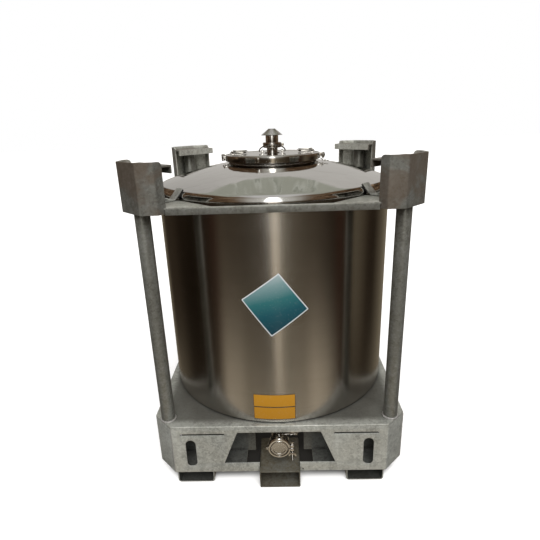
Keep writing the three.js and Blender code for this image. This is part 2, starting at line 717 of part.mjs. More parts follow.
function valveSeat() {
  const { z, stemY } = OUTLET;
  const f = -stemY;
  const ring = turnForward([[32.4, f - 7.7], [35, f - 7.7], [35, f + 7.7], [32.4, f + 7.7]], 0, z, 24);
  return cut(ring, raise(circle(0, stemY, 7.5, 16), z, z + 60));
}

function valveDisc() {
  const { z, stemY } = OUTLET;
  const f = -stemY;
  const disc = turnForward([[0, f - 2], [31.6, f - 2], [31.6, f + 2], [0, f + 2]], 0, z, 24);
  return join(disc, raise(circle(0, stemY, 6.8, 16), z - 28, z + 55));
}

// The lever lies square to the pipe when the valve is shut.
function valveLever() {
  const { z, stemY } = OUTLET;
  const z0 = z + 46;
  const hub = raise(circle(0, stemY, 14, 16), z0, z0 + 6);
  const bar = box(6, 84, stemY - 9, stemY + 9, z0, z0 + 5);
  const grip = box(60, 88, stemY - 11, stemY + 11, z0, z0 + 8);
  return cut(join(hub, bar, grip), raise(circle(0, stemY, 7.1, 16), z0 - 5, z0 + 15));
}

function outletGasket() {
  const f = -OUTLET.stemY + 29.8;
  return turnForward([[33, f], [45, f], [45, f + 1.6], [33, f + 1.6]], 0, OUTLET.z, 24);
}

function outletCap() {
  const f = -OUTLET.stemY + 31.7;
  return turnForward([
    [0, f], [OUTLET.ferruleR, f], [OUTLET.ferruleR, f + 3], [40, f + 5], [37, f + 8], [0, f + 8],
  ], 0, OUTLET.z, 24);
}

const CAP_CLAMP = { boltX: 58, boltY: -560 };

// The split clamp round cap and ferrule; its bolt hangs at the right-hand side.
function outletClamp() {
  const f = -OUTLET.stemY;
  const z = OUTLET.z;
  const ring = turnForward([
    [46.2, f + 22], [52, f + 22], [52, f + 36], [49, f + 40],
    [41.5, f + 40], [41.5, f + 37.2], [46.2, f + 35.5],
  ], 0, z, 24);
  const y0 = -f - 38;
  const lugs = box(50.5, 66, y0, y0 + 14, z - 16, z + 16);
  const split = box(44, 70, y0 - 10, y0 + 30, z - 3, z + 3);
  const bolt = raise(circle(CAP_CLAMP.boltX, CAP_CLAMP.boltY, 4, 10), z - 72, z + 22);
  const hinge = runY(circle(-55, z, 6, 10), y0, y0 + 14);
  return join(cut(join(ring, lugs, hinge), split), bolt);
}

function outletClampNut() {
  const { boltX, boltY } = CAP_CLAMP;
  const z1 = OUTLET.z - 27;
  const wing = runY([
    [boltX + 5, z1 - 12], [boltX + 15, z1 - 26], [boltX + 18, z1 - 22],
    [boltX + 16, z1 - 9], [boltX + 5, z1 - 1],
  ], boltY - 2, boltY + 2);
  const otherWing = wing.clone().translate(-boltX, -boltY, 0).rotateZ(Math.PI).translate(boltX, boltY, 0);
  const nut = raise(circle(boltX, boltY, 8, 12), z1 - 13, z1);
  const bore = raise(circle(boltX, boltY, 4.5, 12), z1 - 60, z1 + 10);
  return cut(join(nut, wing, otherWing), bore);
}

add('outlet_pipe', outletPipe(), brushed);
add('outlet_valve_body', valveBody(), polished);
add('outlet_seat', valveSeat(), rubber);
add('outlet_disc', valveDisc(), polished);
add('outlet_lever', valveLever(), polished);
add('outlet_gasket', outletGasket(), rubber);
add('outlet_cap', outletCap(), polished);
add('outlet_clamp', outletClamp(), polished);
add('outlet_clamp_nut', outletClampNut(), polished);

export default container;
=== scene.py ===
import json
import math
import random

import bmesh
import bpy
from mathutils import Matrix, Vector, geometry


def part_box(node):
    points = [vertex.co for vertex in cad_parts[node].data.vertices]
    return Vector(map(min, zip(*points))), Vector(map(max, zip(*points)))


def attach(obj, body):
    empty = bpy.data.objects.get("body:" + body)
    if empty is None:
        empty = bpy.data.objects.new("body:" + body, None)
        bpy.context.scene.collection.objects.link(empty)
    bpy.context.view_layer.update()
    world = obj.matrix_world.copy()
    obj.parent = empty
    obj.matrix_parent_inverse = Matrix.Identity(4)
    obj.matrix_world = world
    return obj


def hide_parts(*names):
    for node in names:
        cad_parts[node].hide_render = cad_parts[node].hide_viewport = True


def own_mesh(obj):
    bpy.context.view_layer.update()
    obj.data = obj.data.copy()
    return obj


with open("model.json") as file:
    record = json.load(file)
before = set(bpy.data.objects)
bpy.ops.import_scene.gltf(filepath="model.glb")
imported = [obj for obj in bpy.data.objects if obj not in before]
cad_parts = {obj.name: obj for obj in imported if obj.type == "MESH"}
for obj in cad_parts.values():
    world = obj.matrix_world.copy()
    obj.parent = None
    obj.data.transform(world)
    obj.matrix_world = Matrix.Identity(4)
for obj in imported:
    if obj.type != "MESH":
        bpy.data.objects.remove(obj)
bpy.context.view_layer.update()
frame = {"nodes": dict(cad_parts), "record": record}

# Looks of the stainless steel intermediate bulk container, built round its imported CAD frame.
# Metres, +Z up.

scene = bpy.context.scene
nodes = frame["nodes"]

CORNERS = ["rear_right", "rear_left", "front_left", "front_right"]
QUARTER = math.pi / 2

# ---------- places read from the frame ----------
BASE_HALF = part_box("deck_plate")[1].x
DECK_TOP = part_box("deck_plate")[1].z
DECK_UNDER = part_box("deck_plate")[0].z
SKIRT_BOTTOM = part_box("skirt_front")[0].z
HEAD_LOW, HEAD_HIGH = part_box("corner_head_front_left")
HEAD_HALF = -HEAD_LOW.x
RING_LOW, RING_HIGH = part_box("top_ring")
TANK_LOW, TANK_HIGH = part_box("tank_shell")
TANK_R = TANK_HIGH.x
LID_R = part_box("lid")[1].x
HOOD_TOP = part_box("relief_hood")[1].z
POST_LOW, POST_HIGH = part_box("post_rear_right")
POST_R = (POST_HIGH.x - POST_LOW.x) / 2
POST_AT = (POST_HIGH.x + POST_LOW.x) / 2
CAP_LOW, CAP_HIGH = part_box("outlet_cap")
OUTLET_Z = (CAP_LOW.z + CAP_HIGH.z) / 2

# ---------- sizes that the frame's boxes don't give ----------
CHAMFER = 0.086          # leg of the base's cut corners
SHEET = 0.006            # skirts, heads and ties
DECK_HOLE_R = 0.500
CROWN_R = 1.600
KNUCKLE_R = 0.032
TANK_WALL = 0.003
NECK_R = 0.205
LID_TOP = 1.428
ROUND = 192              # steps round the tank
EDGE = 0.0008            # rounding of a plate's edges


# ---------- camera ----------
def camera():
    """At eye height in front of the container, looking down on it."""
    place = Vector((0.0293, -2.1232, 1.5691))
    yaw, pitch, roll = (math.radians(a) for a in (-1.61, -19.05, -1.97))
    ahead = Vector((math.sin(yaw) * math.cos(pitch), math.cos(yaw) * math.cos(pitch), math.sin(pitch)))
    level = Vector((math.cos(yaw), -math.sin(yaw), 0))
    above = level.cross(ahead)
    right = math.cos(roll) * level + math.sin(roll) * above
    up = -math.sin(roll) * level + math.cos(roll) * above
    data = bpy.data.cameras.new("camera")
    data.sensor_width = 36
    data.lens = 28.71
    data.clip_end = 100
    eye = bpy.data.objects.new("camera", data)
    eye.matrix_world = Matrix((right, up, -ahead)).transposed().to_4x4()
    eye.matrix_world.translation = place
    scene.collection.objects.link(eye)
    scene.camera = eye


camera()


# ---------- node graphs ----------
class Graph:
    """Short names for the shader nodes that the materials use."""

    def __init__(self, tree):
        self.tree = tree
        self.tree.nodes.clear()

    def node(self, kind, **settings):
        made = self.tree.nodes.new(kind)
        for name, value in settings.items():
            setattr(made, name, value)
        return made

    def put(self, socket, value):
        if isinstance(value, bpy.types.NodeSocket):
            self.tree.links.new(value, socket)
        else:
            socket.default_value = value

    def math(self, operation, a, b=0.0, clamp=False):
        made = self.node("ShaderNodeMath", operation=operation, use_clamp=clamp)
        self.put(made.inputs[0], a)
        self.put(made.inputs[1], b)
        return made.outputs[0]

    def mix(self, share, a, b, blend="MIX"):
        made = self.node("ShaderNodeMix", data_type="RGBA", blend_type=blend)
        self.put(made.inputs["Factor"], share)
        self.put(made.inputs["A"], a)
        self.put(made.inputs["B"], b)
        return made.outputs["Result"]

    def ramp(self, share, stops):
        made = self.node("ShaderNodeValToRGB")
        elements = made.color_ramp.elements
        for place, _ in stops[2:]:
            elements.new(place)
        for element, (place, colour) in zip(elements, stops):
            element.position = place
            element.color = colour if len(colour) == 4 else (*colour, 1)
        self.put(made.inputs[0], share)
        return made.outputs[0]

    def span(self, value, low, high, out_low=0.0, out_high=1.0):
        """value from low..high carried to out_low..out_high, smoothly and clamped."""
        made = self.node("ShaderNodeMapRange", interpolation_type="SMOOTHSTEP")
        for name, number in (("From Min", low), ("From Max", high), ("To Min", out_low),
                             ("To Max", out_high)):
            made.inputs[name].default_value = number
        self.put(made.inputs["Value"], value)
        return made.outputs[0]

    def place(self, coordinates, scale=(1, 1, 1), turn=(0, 0, 0)):
        made = self.node("ShaderNodeMapping")
        self.put(made.inputs["Vector"], coordinates)
        made.inputs["Scale"].default_value = scale
        made.inputs["Rotation"].default_value = turn
        return made.outputs[0]

    def noise(self, coordinates, scale, detail=4.0, roughness=0.55, distortion=0.0):
        made = self.node("ShaderNodeTexNoise")
        self.put(made.inputs["Vector"], coordinates)
        made.inputs["Scale"].default_value = scale
        made.inputs["Detail"].default_value = detail
        made.inputs["Roughness"].default_value = roughness
        made.inputs["Distortion"].default_value = distortion
        return made.outputs["Fac"]

    def cells(self, coordinates, scale):
        made = self.node("ShaderNodeTexVoronoi")
        self.put(made.inputs["Vector"], coordinates)
        made.inputs["Scale"].default_value = scale
        return made

    def bump(self, height, distance, strength=1.0, onto=None):
        made = self.node("ShaderNodeBump")
        made.inputs["Strength"].default_value = strength
        made.inputs["Distance"].default_value = distance
        self.put(made.inputs["Height"], height)
        if onto is not None:
            self.put(made.inputs["Normal"], onto)
        return made.outputs[0]


def principled(name, metallic, ior=1.45, anisotropic=0.0, turned=0.0, coat=0.0):
    """A new material with a principled shader; returns the material, its graph, shader and coordinates."""
    material = bpy.data.materials.new(name)
    material.use_nodes = True
    graph = Graph(material.node_tree)
    shader = graph.node("ShaderNodeBsdfPrincipled")
    output = graph.node("ShaderNodeOutputMaterial")
    graph.put(output.inputs["Surface"], shader.outputs[0])
    shader.inputs["Metallic"].default_value = metallic
    shader.inputs["IOR"].default_value = ior
    shader.inputs["Anisotropic"].default_value = anisotropic
    shader.inputs["Anisotropic Rotation"].default_value = turned
    shader.inputs["Coat Weight"].default_value = coat
    coordinates = graph.node("ShaderNodeTexCoord").outputs["Object"]
    return material, graph, shader, coordinates


def grey(level, warmth=0.0):
    """A grey, made a little warmer by warmth."""
    return (level * (1 + warmth), level, level * (1 - 1.6 * warmth), 1)


# ---------- materials ----------
def galvanised(name, level, warmth, stain, metallic=0.5, inner=1.0, upper=1.0, patches=0.0, collar=0.0):
    """Hot-dip zinc: crystal spangle, cloudy dulling, run marks, grey stains and fine grit, with painted shade
    in hollows.
    inner and upper paint light and shade: how bright the faces are that look towards the container's middle
    and up.
    patches is the share of brown film, and collar that of painted shade on the deck's top inside its rim."""
    material, graph, shader, at = principled(name, metallic)
    drift = graph.node("ShaderNodeTexNoise")
    graph.put(drift.inputs["Vector"], at)
    drift.inputs["Scale"].default_value = 60
    warped = graph.mix(0.012, at, drift.outputs["Color"])
    facet = graph.node("ShaderNodeSeparateColor")
    graph.put(facet.inputs[0], graph.cells(warped, 130).outputs["Color"])
    clouds = graph.noise(at, 3.2, 5, 0.55, 0.5)
    blotch = graph.noise(at, 30, 6, 0.68, 0.4)
    runs = graph.noise(graph.place(at, (55, 55, 2.4)), 1.0, 3, 0.6)
    tone = graph.math("ADD", graph.math("MULTIPLY", facet.outputs[0], 0.16),
                      graph.math("MULTIPLY", clouds, 0.55))
    tone = graph.math("ADD", tone, graph.math("MULTIPLY", blotch, 0.5))
    tone = graph.math("ADD", tone, graph.math("MULTIPLY", runs, 0.18))
    colour = graph.ramp(graph.span(tone, 0.50, 0.90), [
        (0.0, grey(level * 0.62, warmth)), (0.35, grey(level * 0.90, warmth * 0.8)),
        (0.65, grey(level, warmth * 0.5)), (1.0, grey(min(level * 1.22, 0.95), warmth * 0.2)),
    ])
    fleck = graph.math("MULTIPLY", graph.span(graph.noise(at, 95, 3, 0.7, 0.6), 0.56, 0.72), 0.5)
    colour = graph.mix(fleck, colour, grey(min(level * 1.5, 0.95), warmth * 0.2))
    smudge = graph.math("MULTIPLY", graph.span(graph.noise(at, 6, 8, 0.72, 1.5), 0.53, 0.75), stain)
    colour = graph.mix(smudge, colour, grey(level * 0.34, 0.08))
    film = graph.math("MULTIPLY", graph.span(graph.noise(at, 5, 4, 0.6, 0.8), 0.42, 0.58), patches)
    middle = graph.node("ShaderNodeVectorMath", operation="DOT_PRODUCT")
    plan = graph.place(at, (1, 1, 0))
    normal = graph.node("ShaderNodeTexCoord").outputs["Normal"]
    graph.put(middle.inputs[0], plan)
    graph.put(middle.inputs[1], normal)
    heights = graph.node("ShaderNodeSeparateXYZ")
    graph.put(heights.inputs[0], normal)
    inward = graph.span(middle.outputs["Value"], -0.05, -0.2)
    film = graph.math("MULTIPLY", film, graph.math("SUBTRACT", 1.0, inward))
    colour = graph.mix(film, colour, (level * 0.74, level * 0.52, level * 0.40, 1))
    upward = graph.span(heights.outputs[2], 0.6, 0.95)
    # painted light and shade by facing: inward faces times inner, upward faces times upper
    colour = graph.mix(inward, colour, graph.mix(1.0, colour, grey(inner), "MULTIPLY"))
    colour = graph.mix(upward, colour, graph.mix(1.0, colour, grey(upper), "MULTIPLY"))
    # painted shade: upward faces get darker inside the base's rim, as much as collar asks
    places = graph.node("ShaderNodeSeparateXYZ")
    graph.put(places.inputs[0], at)
    out = graph.math("MAXIMUM", *[graph.math("ABSOLUTE", places.outputs[k]) for k in (0, 1)])
    painted_rim_shade = graph.math("MULTIPLY", graph.span(out, BASE_HALF - 0.015, BASE_HALF - 0.06), collar)
    painted_rim_shade = graph.math("MULTIPLY", painted_rim_shade, upward)
    colour = graph.mix(painted_rim_shade, colour, grey(level * 0.25, 0.04))
    # painted shade: the colour goes darker where ambient occlusion finds hollows and parts close together
    hollow = graph.node("ShaderNodeAmbientOcclusion", samples=4)
    hollow.inputs["Distance"].default_value = 0.03
    shade = graph.span(hollow.outputs["AO"], 0.65, 0.15)
    colour = graph.mix(1.0, colour, (0.975, 1.0, 0.935, 1), "MULTIPLY")
    hollow_shade_colour = graph.mix(1.0, colour, grey(0.16, 0.05), "MULTIPLY")
    graph.put(shader.inputs["Base Color"], graph.mix(shade, colour, hollow_shade_colour))
    rough = graph.math("ADD", graph.math("MULTIPLY", blotch, 0.24),
                       graph.math("MULTIPLY", facet.outputs[1], 0.08))
    graph.put(shader.inputs["Roughness"], graph.math("ADD", rough, 0.26, True))
    relief = graph.bump(graph.noise(at, 75, 4, 0.6), 0.0004)
    relief = graph.bump(facet.outputs[2], 0.00006, 0.5, relief)
    graph.put(shader.inputs["Normal"], graph.bump(graph.noise(at, 420, 2, 0.6), 0.0001, 0.5, relief))
    return material


def brushed(name, level, warmth, roughness, anisotropic):
    """Steel ground round the vertical axis: hair lines, wider grinding bands and faint hand marks."""
    material, graph, shader, at = principled(name, 1.0, anisotropic=anisotropic, turned=0.25)
    tangent = graph.node("ShaderNodeTangent", direction_type="RADIAL", axis="Z")
    graph.put(shader.inputs["Tangent"], tangent.outputs[0])
    hair = graph.noise(graph.place(at, (2.5, 2.5, 2200)), 1.0, 3, 0.6)
    bands = graph.noise(graph.place(at, (0.8, 0.8, 420)), 1.0, 2, 0.5)
    marks = graph.noise(at, 7, 6, 0.65, 0.8)
    tone = graph.math("ADD", graph.math("MULTIPLY", hair, 0.5), graph.math("MULTIPLY", bands, 0.5))
    colour = graph.ramp(graph.span(tone, 0.3, 0.7), [
        (0.0, grey(level * 0.93, warmth)), (0.5, grey(level, warmth)),
        (1.0, grey(level * 1.06, warmth * 0.8)),
    ])
    graph.put(shader.inputs["Base Color"], graph.mix(
        graph.math("MULTIPLY", graph.span(marks, 0.5, 0.8), 0.10), colour, grey(level * 0.8, warmth)))
    rough = graph.math("ADD", graph.math("MULTIPLY", hair, 0.05), graph.math("MULTIPLY", marks, 0.05))
    graph.put(shader.inputs["Roughness"], graph.math("ADD", rough, roughness - 0.05, True))
    graph.put(shader.inputs["Normal"], graph.bump(hair, 0.000008, 0.4))
    return material


def polished(name, level, warmth, roughness, ripple):
    """Mirror-polished steel with slow ripples, smears and fine scratches."""
    material, graph, shader, at = principled(name, 1.0)
    waves = graph.noise(at, 6, 3, 0.5, 0.4)
    smear = graph.noise(graph.place(at, (4, 9, 9), (0, 0, 0.6)), 1.6, 6, 0.65, 1.0)
    scratches = graph.noise(graph.place(at, (900, 16, 30), (0, 0, 0.4)), 1.0, 3, 0.7)
    colour = graph.ramp(graph.span(smear, 0.3, 0.75), [
        (0.0, grey(level, warmth)), (0.6, grey(level * 0.96, warmth)),
        (1.0, grey(level * 0.88, warmth * 1.4)),
    ])
    graph.put(shader.inputs["Base Color"], colour)
    rough = graph.math("ADD", graph.math("MULTIPLY", graph.span(smear, 0.35, 0.8), 0.08),
                       graph.math("MULTIPLY", graph.span(scratches, 0.55, 0.9), 0.10))
    graph.put(shader.inputs["Roughness"], graph.math("ADD", rough, roughness, True))
    graph.put(shader.inputs["Normal"], graph.bump(waves, ripple, 1.0))
    return material


def black_rubber():
    material, graph, shader, at = principled("black_rubber", 0.0)
    bloom = graph.noise(at, 40, 5, 0.6, 0.5)
    graph.put(shader.inputs["Base Color"], graph.ramp(bloom, [
        (0.3, grey(0.012)), (0.75, grey(0.04, 0.05)),
    ]))
    graph.put(shader.inputs["Roughness"], graph.span(bloom, 0.3, 0.7, 0.55, 0.85))
    graph.put(shader.inputs["Normal"], graph.bump(graph.noise(at, 900, 3), 0.0001, 0.6))
    return material


def weld_metal(name, level, metallic):
    """Weld beads: scaly, with heat tint beside the ripples."""
    material, graph, shader, at = principled(name, metallic)
    scale = graph.noise(at, 260, 4, 0.65)
    heat = graph.noise(at, 30, 4, 0.6)
    colour = graph.ramp(scale, [(0.25, grey(level * 0.7, 0.04)), (0.75, grey(level * 1.15))])
    graph.put(shader.inputs["Base Color"], graph.mix(
        graph.math("MULTIPLY", graph.span(heat, 0.5, 0.8), 0.4), colour, grey(level * 0.5, 0.12)))
    graph.put(shader.inputs["Roughness"], graph.span(scale, 0.2, 0.8, 0.34, 0.6))
    graph.put(shader.inputs["Normal"], graph.bump(scale, 0.0004, 0.8))
    return material


def printed(name, stops, along, start, length, roughness=0.32):
    """Printed film whose colour runs along a direction in the tank's front plane, with faint wear."""
    material, graph, shader, at = principled(name, 0.0, ior=1.5, coat=0.3)
    dot = graph.node("ShaderNodeVectorMath", operation="DOT_PRODUCT")
    graph.put(dot.inputs[0], at)
    dot.inputs[1].default_value = along
    share = graph.math("DIVIDE", graph.math("SUBTRACT", dot.outputs["Value"], start), length)
    colour = graph.ramp(share, stops)
    wear = graph.noise(at, 140, 5, 0.65, 0.4)
    graph.put(shader.inputs["Base Color"], graph.mix(
        graph.math("MULTIPLY", graph.span(wear, 0.55, 0.8), 0.22), colour, (0.55, 0.53, 0.5, 1)))
    graph.put(shader.inputs["Roughness"], graph.span(wear, 0.3, 0.7, roughness, roughness + 0.16))
    graph.put(shader.inputs["Normal"], graph.bump(graph.noise(at, 35, 3), 0.0003, 0.4))
    return material


# Painted light and shade in these copies: inner darkens inward faces on the skirts, runners, posts, ring and
# foot and brightens them on the heads; upper brightens the ring's upward faces and darkens the runners';
# collar is painted shade on the deck. Their levels differ partly as duller coating and partly as painted
# light and shade.
ZINC = galvanised("zinc_base", 0.52, 0.004, 0.30, inner=0.08)
ZINC_DECK = galvanised("zinc_deck", 0.46, 0.012, 0.80, 0.6, collar=0.85)
ZINC_CLIP = galvanised("zinc_clip", 0.50, 0.0, 0.60, 0.6)
ZINC_POST = galvanised("zinc_post", 0.22, 0.05, 0.25, inner=0.9)
ZINC_RING = galvanised("zinc_ring", 0.21, 0.04, 0.30, inner=0.7, upper=2.3)
ZINC_DARK = galvanised("zinc_head", 0.24, 0.03, 0.35, inner=2.4, patches=0.6)
ZINC_FOOT = galvanised("zinc_foot", 0.15, 0.14, 0.40, inner=0.8)
ZINC_RUNNER = galvanised("zinc_runner", 0.40, 0.01, 0.40, inner=0.2, upper=0.15)
ZINC_BEAM = galvanised("zinc_beam", 0.16, 0.01, 0.40)
BRUSHED = brushed("tank_brushed", 0.62, 0.03, 0.20, 0.85)
BRUSHED_SMALL = brushed("fitting_brushed", 0.60, 0.02, 0.24, 0.4)
MIRROR = polished("dish_mirror", 0.74, 0.012, 0.045, 0.0011)
CHROME = polished("fitting_mirror", 0.70, 0.02, 0.06, 0.0002)
ROD = polished("rod_mirror", 0.34, 0.04, 0.10, 0.0002)
# painted shade: a dark copy of the polished steel, for the neck under the lid
NECK = polished("neck_mirror", 0.22, 0.06, 0.12, 0.0002)
RUBBER = black_rubber()
WELD = weld_metal("weld_zinc", 0.50, 0.6)
WELD_STEEL = weld_metal("weld_steel", 0.55, 1.0)


# ---------- outlines ----------
def circle(x, y, r, steps, start=0.0):
    return [(x + r * math.cos(start + math.tau * i / steps), y + r * math.sin(start + math.tau * i / steps))
            for i in range(steps)]


def arc(x, y, r, start, end, steps):
    """Points on an arc, angles in degrees."""
    turns = [math.radians(start + (end - start) * i / steps) for i in range(steps + 1)]
    return [(x + r * math.cos(a), y + r * math.sin(a)) for a in turns]


def rounded(points, radius, steps=5):
    """A closed outline with its corners turned into arcs; a point's own third value replaces radius."""
    done = []
    for i, corner in enumerate(points):
        r = corner[2] if len(corner) > 2 else radius
        here = Vector(corner[:2])
        before = (Vector(points[i - 1][:2]) - here)
        after = (Vector(points[(i + 1) % len(points)][:2]) - here)
        reach = min(before.length, after.length) * 0.49
        before.normalize()
        after.normalize()
        half = before.angle(after) / 2
        if r <= 0 or half > math.pi / 2 - 0.01:
            done.append(tuple(here))
            continue
        cut = min(r / math.tan(half), reach)
        r = cut * math.tan(half)
        centre = here + (before + after).normalized() * (r / math.sin(half))
        first = here + before * cut - centre
        last = here + after * cut - centre
        sweep = first.angle_signed(last)
        for k in range(steps + 1):
            turn = Matrix.Rotation(-sweep * k / steps, 2)
            done.append(tuple(centre + turn @ first))
    return done


def area(points):
    return sum(a[0] * b[1] - b[0] * a[1] for a, b in zip(points, points[1:] + points[:1])) / 2


def inset(points, distance):
    """A closed outline moved inwards, or outwards where distance is negative; anticlockwise outlines."""
    moved = []
    for i, here in enumerate(points):
        a = (Vector(here) - Vector(points[i - 1])).normalized()
        b = (Vector(points[(i + 1) % len(points)]) - Vector(here)).normalized()
        na, nb = Vector((-a.y, a.x)), Vector((-b.y, b.x))
        moved.append(tuple(Vector(here) + (na + nb) * (distance / max(1 + na.dot(nb), 0.3))))
    return moved


# ---------- meshes ----------
def as_piece(name, work, material, smooth=35):
    """A bmesh as a named object, smooth where its faces meet at less than that many degrees."""
    bmesh.ops.recalc_face_normals(work, faces=work.faces)
    mesh = bpy.data.meshes.new(name)
    work.to_mesh(mesh)
    work.free()
    mesh.shade_smooth()
    mesh.set_sharp_from_angle(angle=math.radians(smooth))
    mesh.materials.append(material)
    piece = bpy.data.objects.new(name, mesh)
    scene.collection.objects.link(piece)
    return piece


def settle(piece, body, slot, *replaced):
    """The piece rides on its body and stands for the CAD nodes; slot is not used."""
    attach(piece, body)
    if replaced:
        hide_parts(*replaced)
    return piece


def spin(work, turns):
    """Turns a bmesh about Z by quarter turns."""
    bmesh.ops.rotate(work, verts=work.verts, cent=(0, 0, 0), matrix=Matrix.Rotation(QUARTER * turns, 3, "Z"))
    return work


def add_slab(work, outline, z0, z1, holes=(), edge=EDGE, place=None, top=None, bottom=None, arcs=3):
    """A flat plate with rounded edges, added to a bmesh. place carries (x, y, z) into the frame; top and
    bottom are the edge radii of the outline where they differ from edge."""
    place = place or (lambda x, y, z: (x, y, z))
    loops = [(outline if area(outline) > 0 else outline[::-1], 1)]
    loops += [(hole if area(hole) > 0 else hole[::-1], -1) for hole in holes]
    caps = {"low": [], "high": []}
    for points, side in loops:
        high = top if top is not None and side > 0 else edge
        low = bottom if bottom is not None and side > 0 else edge
        levels = [(low * (1 - math.sin(a)), z0 + low * (1 - math.cos(a)))
                  for a in (QUARTER * i / arcs for i in range(arcs + 1))]
        levels += [(high * (1 - math.cos(a)), z1 - high * (1 - math.sin(a)))
                   for a in (QUARTER * i / arcs for i in range(arcs + 1))]
        rings, last_distance = [], None
        for distance, z in levels:
            if rings and abs(z - rings[-1][0].co.z) < 1e-9 and distance == last_distance:
                continue
            rings.append([work.verts.new((x, y, z)) for x, y in inset(points, distance * side)])
            last_distance = distance
        for below, above in zip(rings, rings[1:]):
            for i in range(len(points)):
                j = (i + 1) % len(points)
                work.faces.new((below[i], below[j], above[j], above[i]))
        caps["low"].append(rings[0])
        caps["high"].append(rings[-1])
    for rings in caps.values():
        flat = [[Vector((v.co.x, v.co.y, 0)) for v in ring] for ring in rings]
        verts = [v for ring in rings for v in ring]
        for face in geometry.tessellate_polygon(flat):
            if len({verts[i] for i in face}) == 3:
                work.faces.new([verts[i] for i in face])
    for vert in slab_verts(work):
        vert.co = place(*vert.co)
    return work


def slab_verts(work):
    """The vertices that haven't been placed yet; each is marked once it has been returned."""
    layer = work.verts.layers.int.get("placed") or work.verts.layers.int.new("placed")
    fresh = [v for v in work.verts if not v[layer]]
    for vert in fresh:
        vert[layer] = 1
    return fresh


def add_turned(work, profile, steps=ROUND, place=None, start=0.0, sweep=math.tau):
    """A closed profile (radius, height) turned about the vertical axis, whole or over part of a turn."""
    place = place or (lambda x, y, z: (x, y, z))
    whole = abs(sweep - math.tau) < 1e-6
    count = steps if whole else steps + 1
    rings = []
    for r, z in profile:
        if r < 1e-7:
            rings.append([work.verts.new(place(0, 0, z))])
            continue
        angles = [start + sweep * i / steps for i in range(count)]
        rings.append([work.verts.new(place(r * math.cos(a), r * math.sin(a), z)) for a in angles])
    for i, ring in enumerate(rings):
        other = rings[(i + 1) % len(rings)]
        if len(ring) == 1 and len(other) == 1:
            continue
        for k in range(steps if whole else count - 1):
            m = (k + 1) % count
            corners = [ring[k % len(ring)], ring[m % len(ring)], other[m % len(other)], other[k % len(other)]]
            single = []
            for vert in corners:
                if vert not in single:
                    single.append(vert)
            work.faces.new(single)
    if not whole:
        for k in (0, -1):
            work.faces.new([ring[k] for ring in rings])
    slab_verts(work)
    return work


def add_tube(work, points, radius, sides=12, closed=False, flat=1.0):
    """A round bar along a smooth path of points; flat squashes the section."""
    path = [Vector(p) for p in points]
    count = len(path)
    ring_of = []
    normal = None
    for i, here in enumerate(path):
        ahead = path[(i + 1) % count] if closed or i + 1 < count else here
        behind = path[i - 1] if closed or i else here
        along = (ahead - behind).normalized()
        if normal is None:
            normal = along.orthogonal().normalized()
        normal = (normal - along * normal.dot(along)).normalized()
        across = along.cross(normal)
        r = radius(i / (count - 1)) if callable(radius) else radius
        ring_of.append([work.verts.new(here + r * (math.cos(a) * normal + flat * math.sin(a) * across))
                        for a in (math.tau * k / sides for k in range(sides))])
    pairs = list(zip(ring_of, ring_of[1:]))
    if closed:
        pairs.append((ring_of[-1], ring_of[0]))
    shift = 0
    for ring, other in pairs:
        if closed and ring is ring_of[-1]:
            shift = min(range(sides), key=lambda s: (other[s].co - ring[0].co).length)
        for k in range(sides):
            work.faces.new((ring[k], ring[(k + 1) % sides],
                            other[(k + 1 + shift) % sides], other[(k + shift) % sides]))
    if not closed:
        work.faces.new(ring_of[0])
        work.faces.new(ring_of[-1][::-1])
    slab_verts(work)
    return work


def bent_path(points, radius, steps=6):
    """A path with arcs of that radius at its corners."""
    path = [Vector(p) for p in points]
    done = [path[0]]
    for a, b, c in zip(path, path[1:], path[2:]):
        before, after = (a - b).normalized(), (c - b).normalized()
        half = before.angle(after) / 2
        cut = min(radius / math.tan(half), 0.49 * (a - b).length, 0.49 * (c - b).length)
        r = cut * math.tan(half)
        centre = b + (before + after).normalized() * (r / math.sin(half))
        first, last = b + before * cut - centre, b + after * cut - centre
        axis = first.cross(last).normalized()
        sweep = first.angle(last)
        done += [centre + Matrix.Rotation(sweep * k / steps, 3, axis) @ first for k in range(steps + 1)]
    return [*done, path[-1]]


def add_bolt(work, centre, axis, across=0.017, height=0.0075, washer=0.014):
    """A hex head on its washer, standing on centre along axis."""
    axis = Vector(axis).normalized()
    turn = axis.to_track_quat("Z", "Y").to_matrix()

    def place(x, y, z):
        return Vector(centre) + turn @ Vector((x, y, z))

    add_turned(work, [(0, 0), (washer, 0), (washer, 0.0012), (washer - 0.0006, 0.0018), (0, 0.0018)], 32,
               place)
    radius = across / math.sqrt(3)
    add_slab(work, circle(0, 0, radius, 6), 0.0018, 0.0018 + height, edge=0.0005, top=0.0016, place=place)
    return work


def bead(points, radius, closed=False, seed=1, ripple=0.16):
    """A weld bead: a low bar along the path whose thickness ripples."""
    work = bmesh.new()
    dice = random.Random(seed)
    wobble = [1 + ripple * (dice.random() - 0.5) * 2 for _ in range(len(points) + 1)]
    count = len(points)
    add_tube(work, points, lambda t: radius * wobble[int(t * (count - 1) + 0.5)], 8, closed)
    return work


def along(a, b, step=0.004):
    """Evenly spaced points from a to b."""
    a, b = Vector(a), Vector(b)
    count = max(2, int((b - a).length / step))
    return [a.lerp(b, i / count) for i in range(count + 1)]


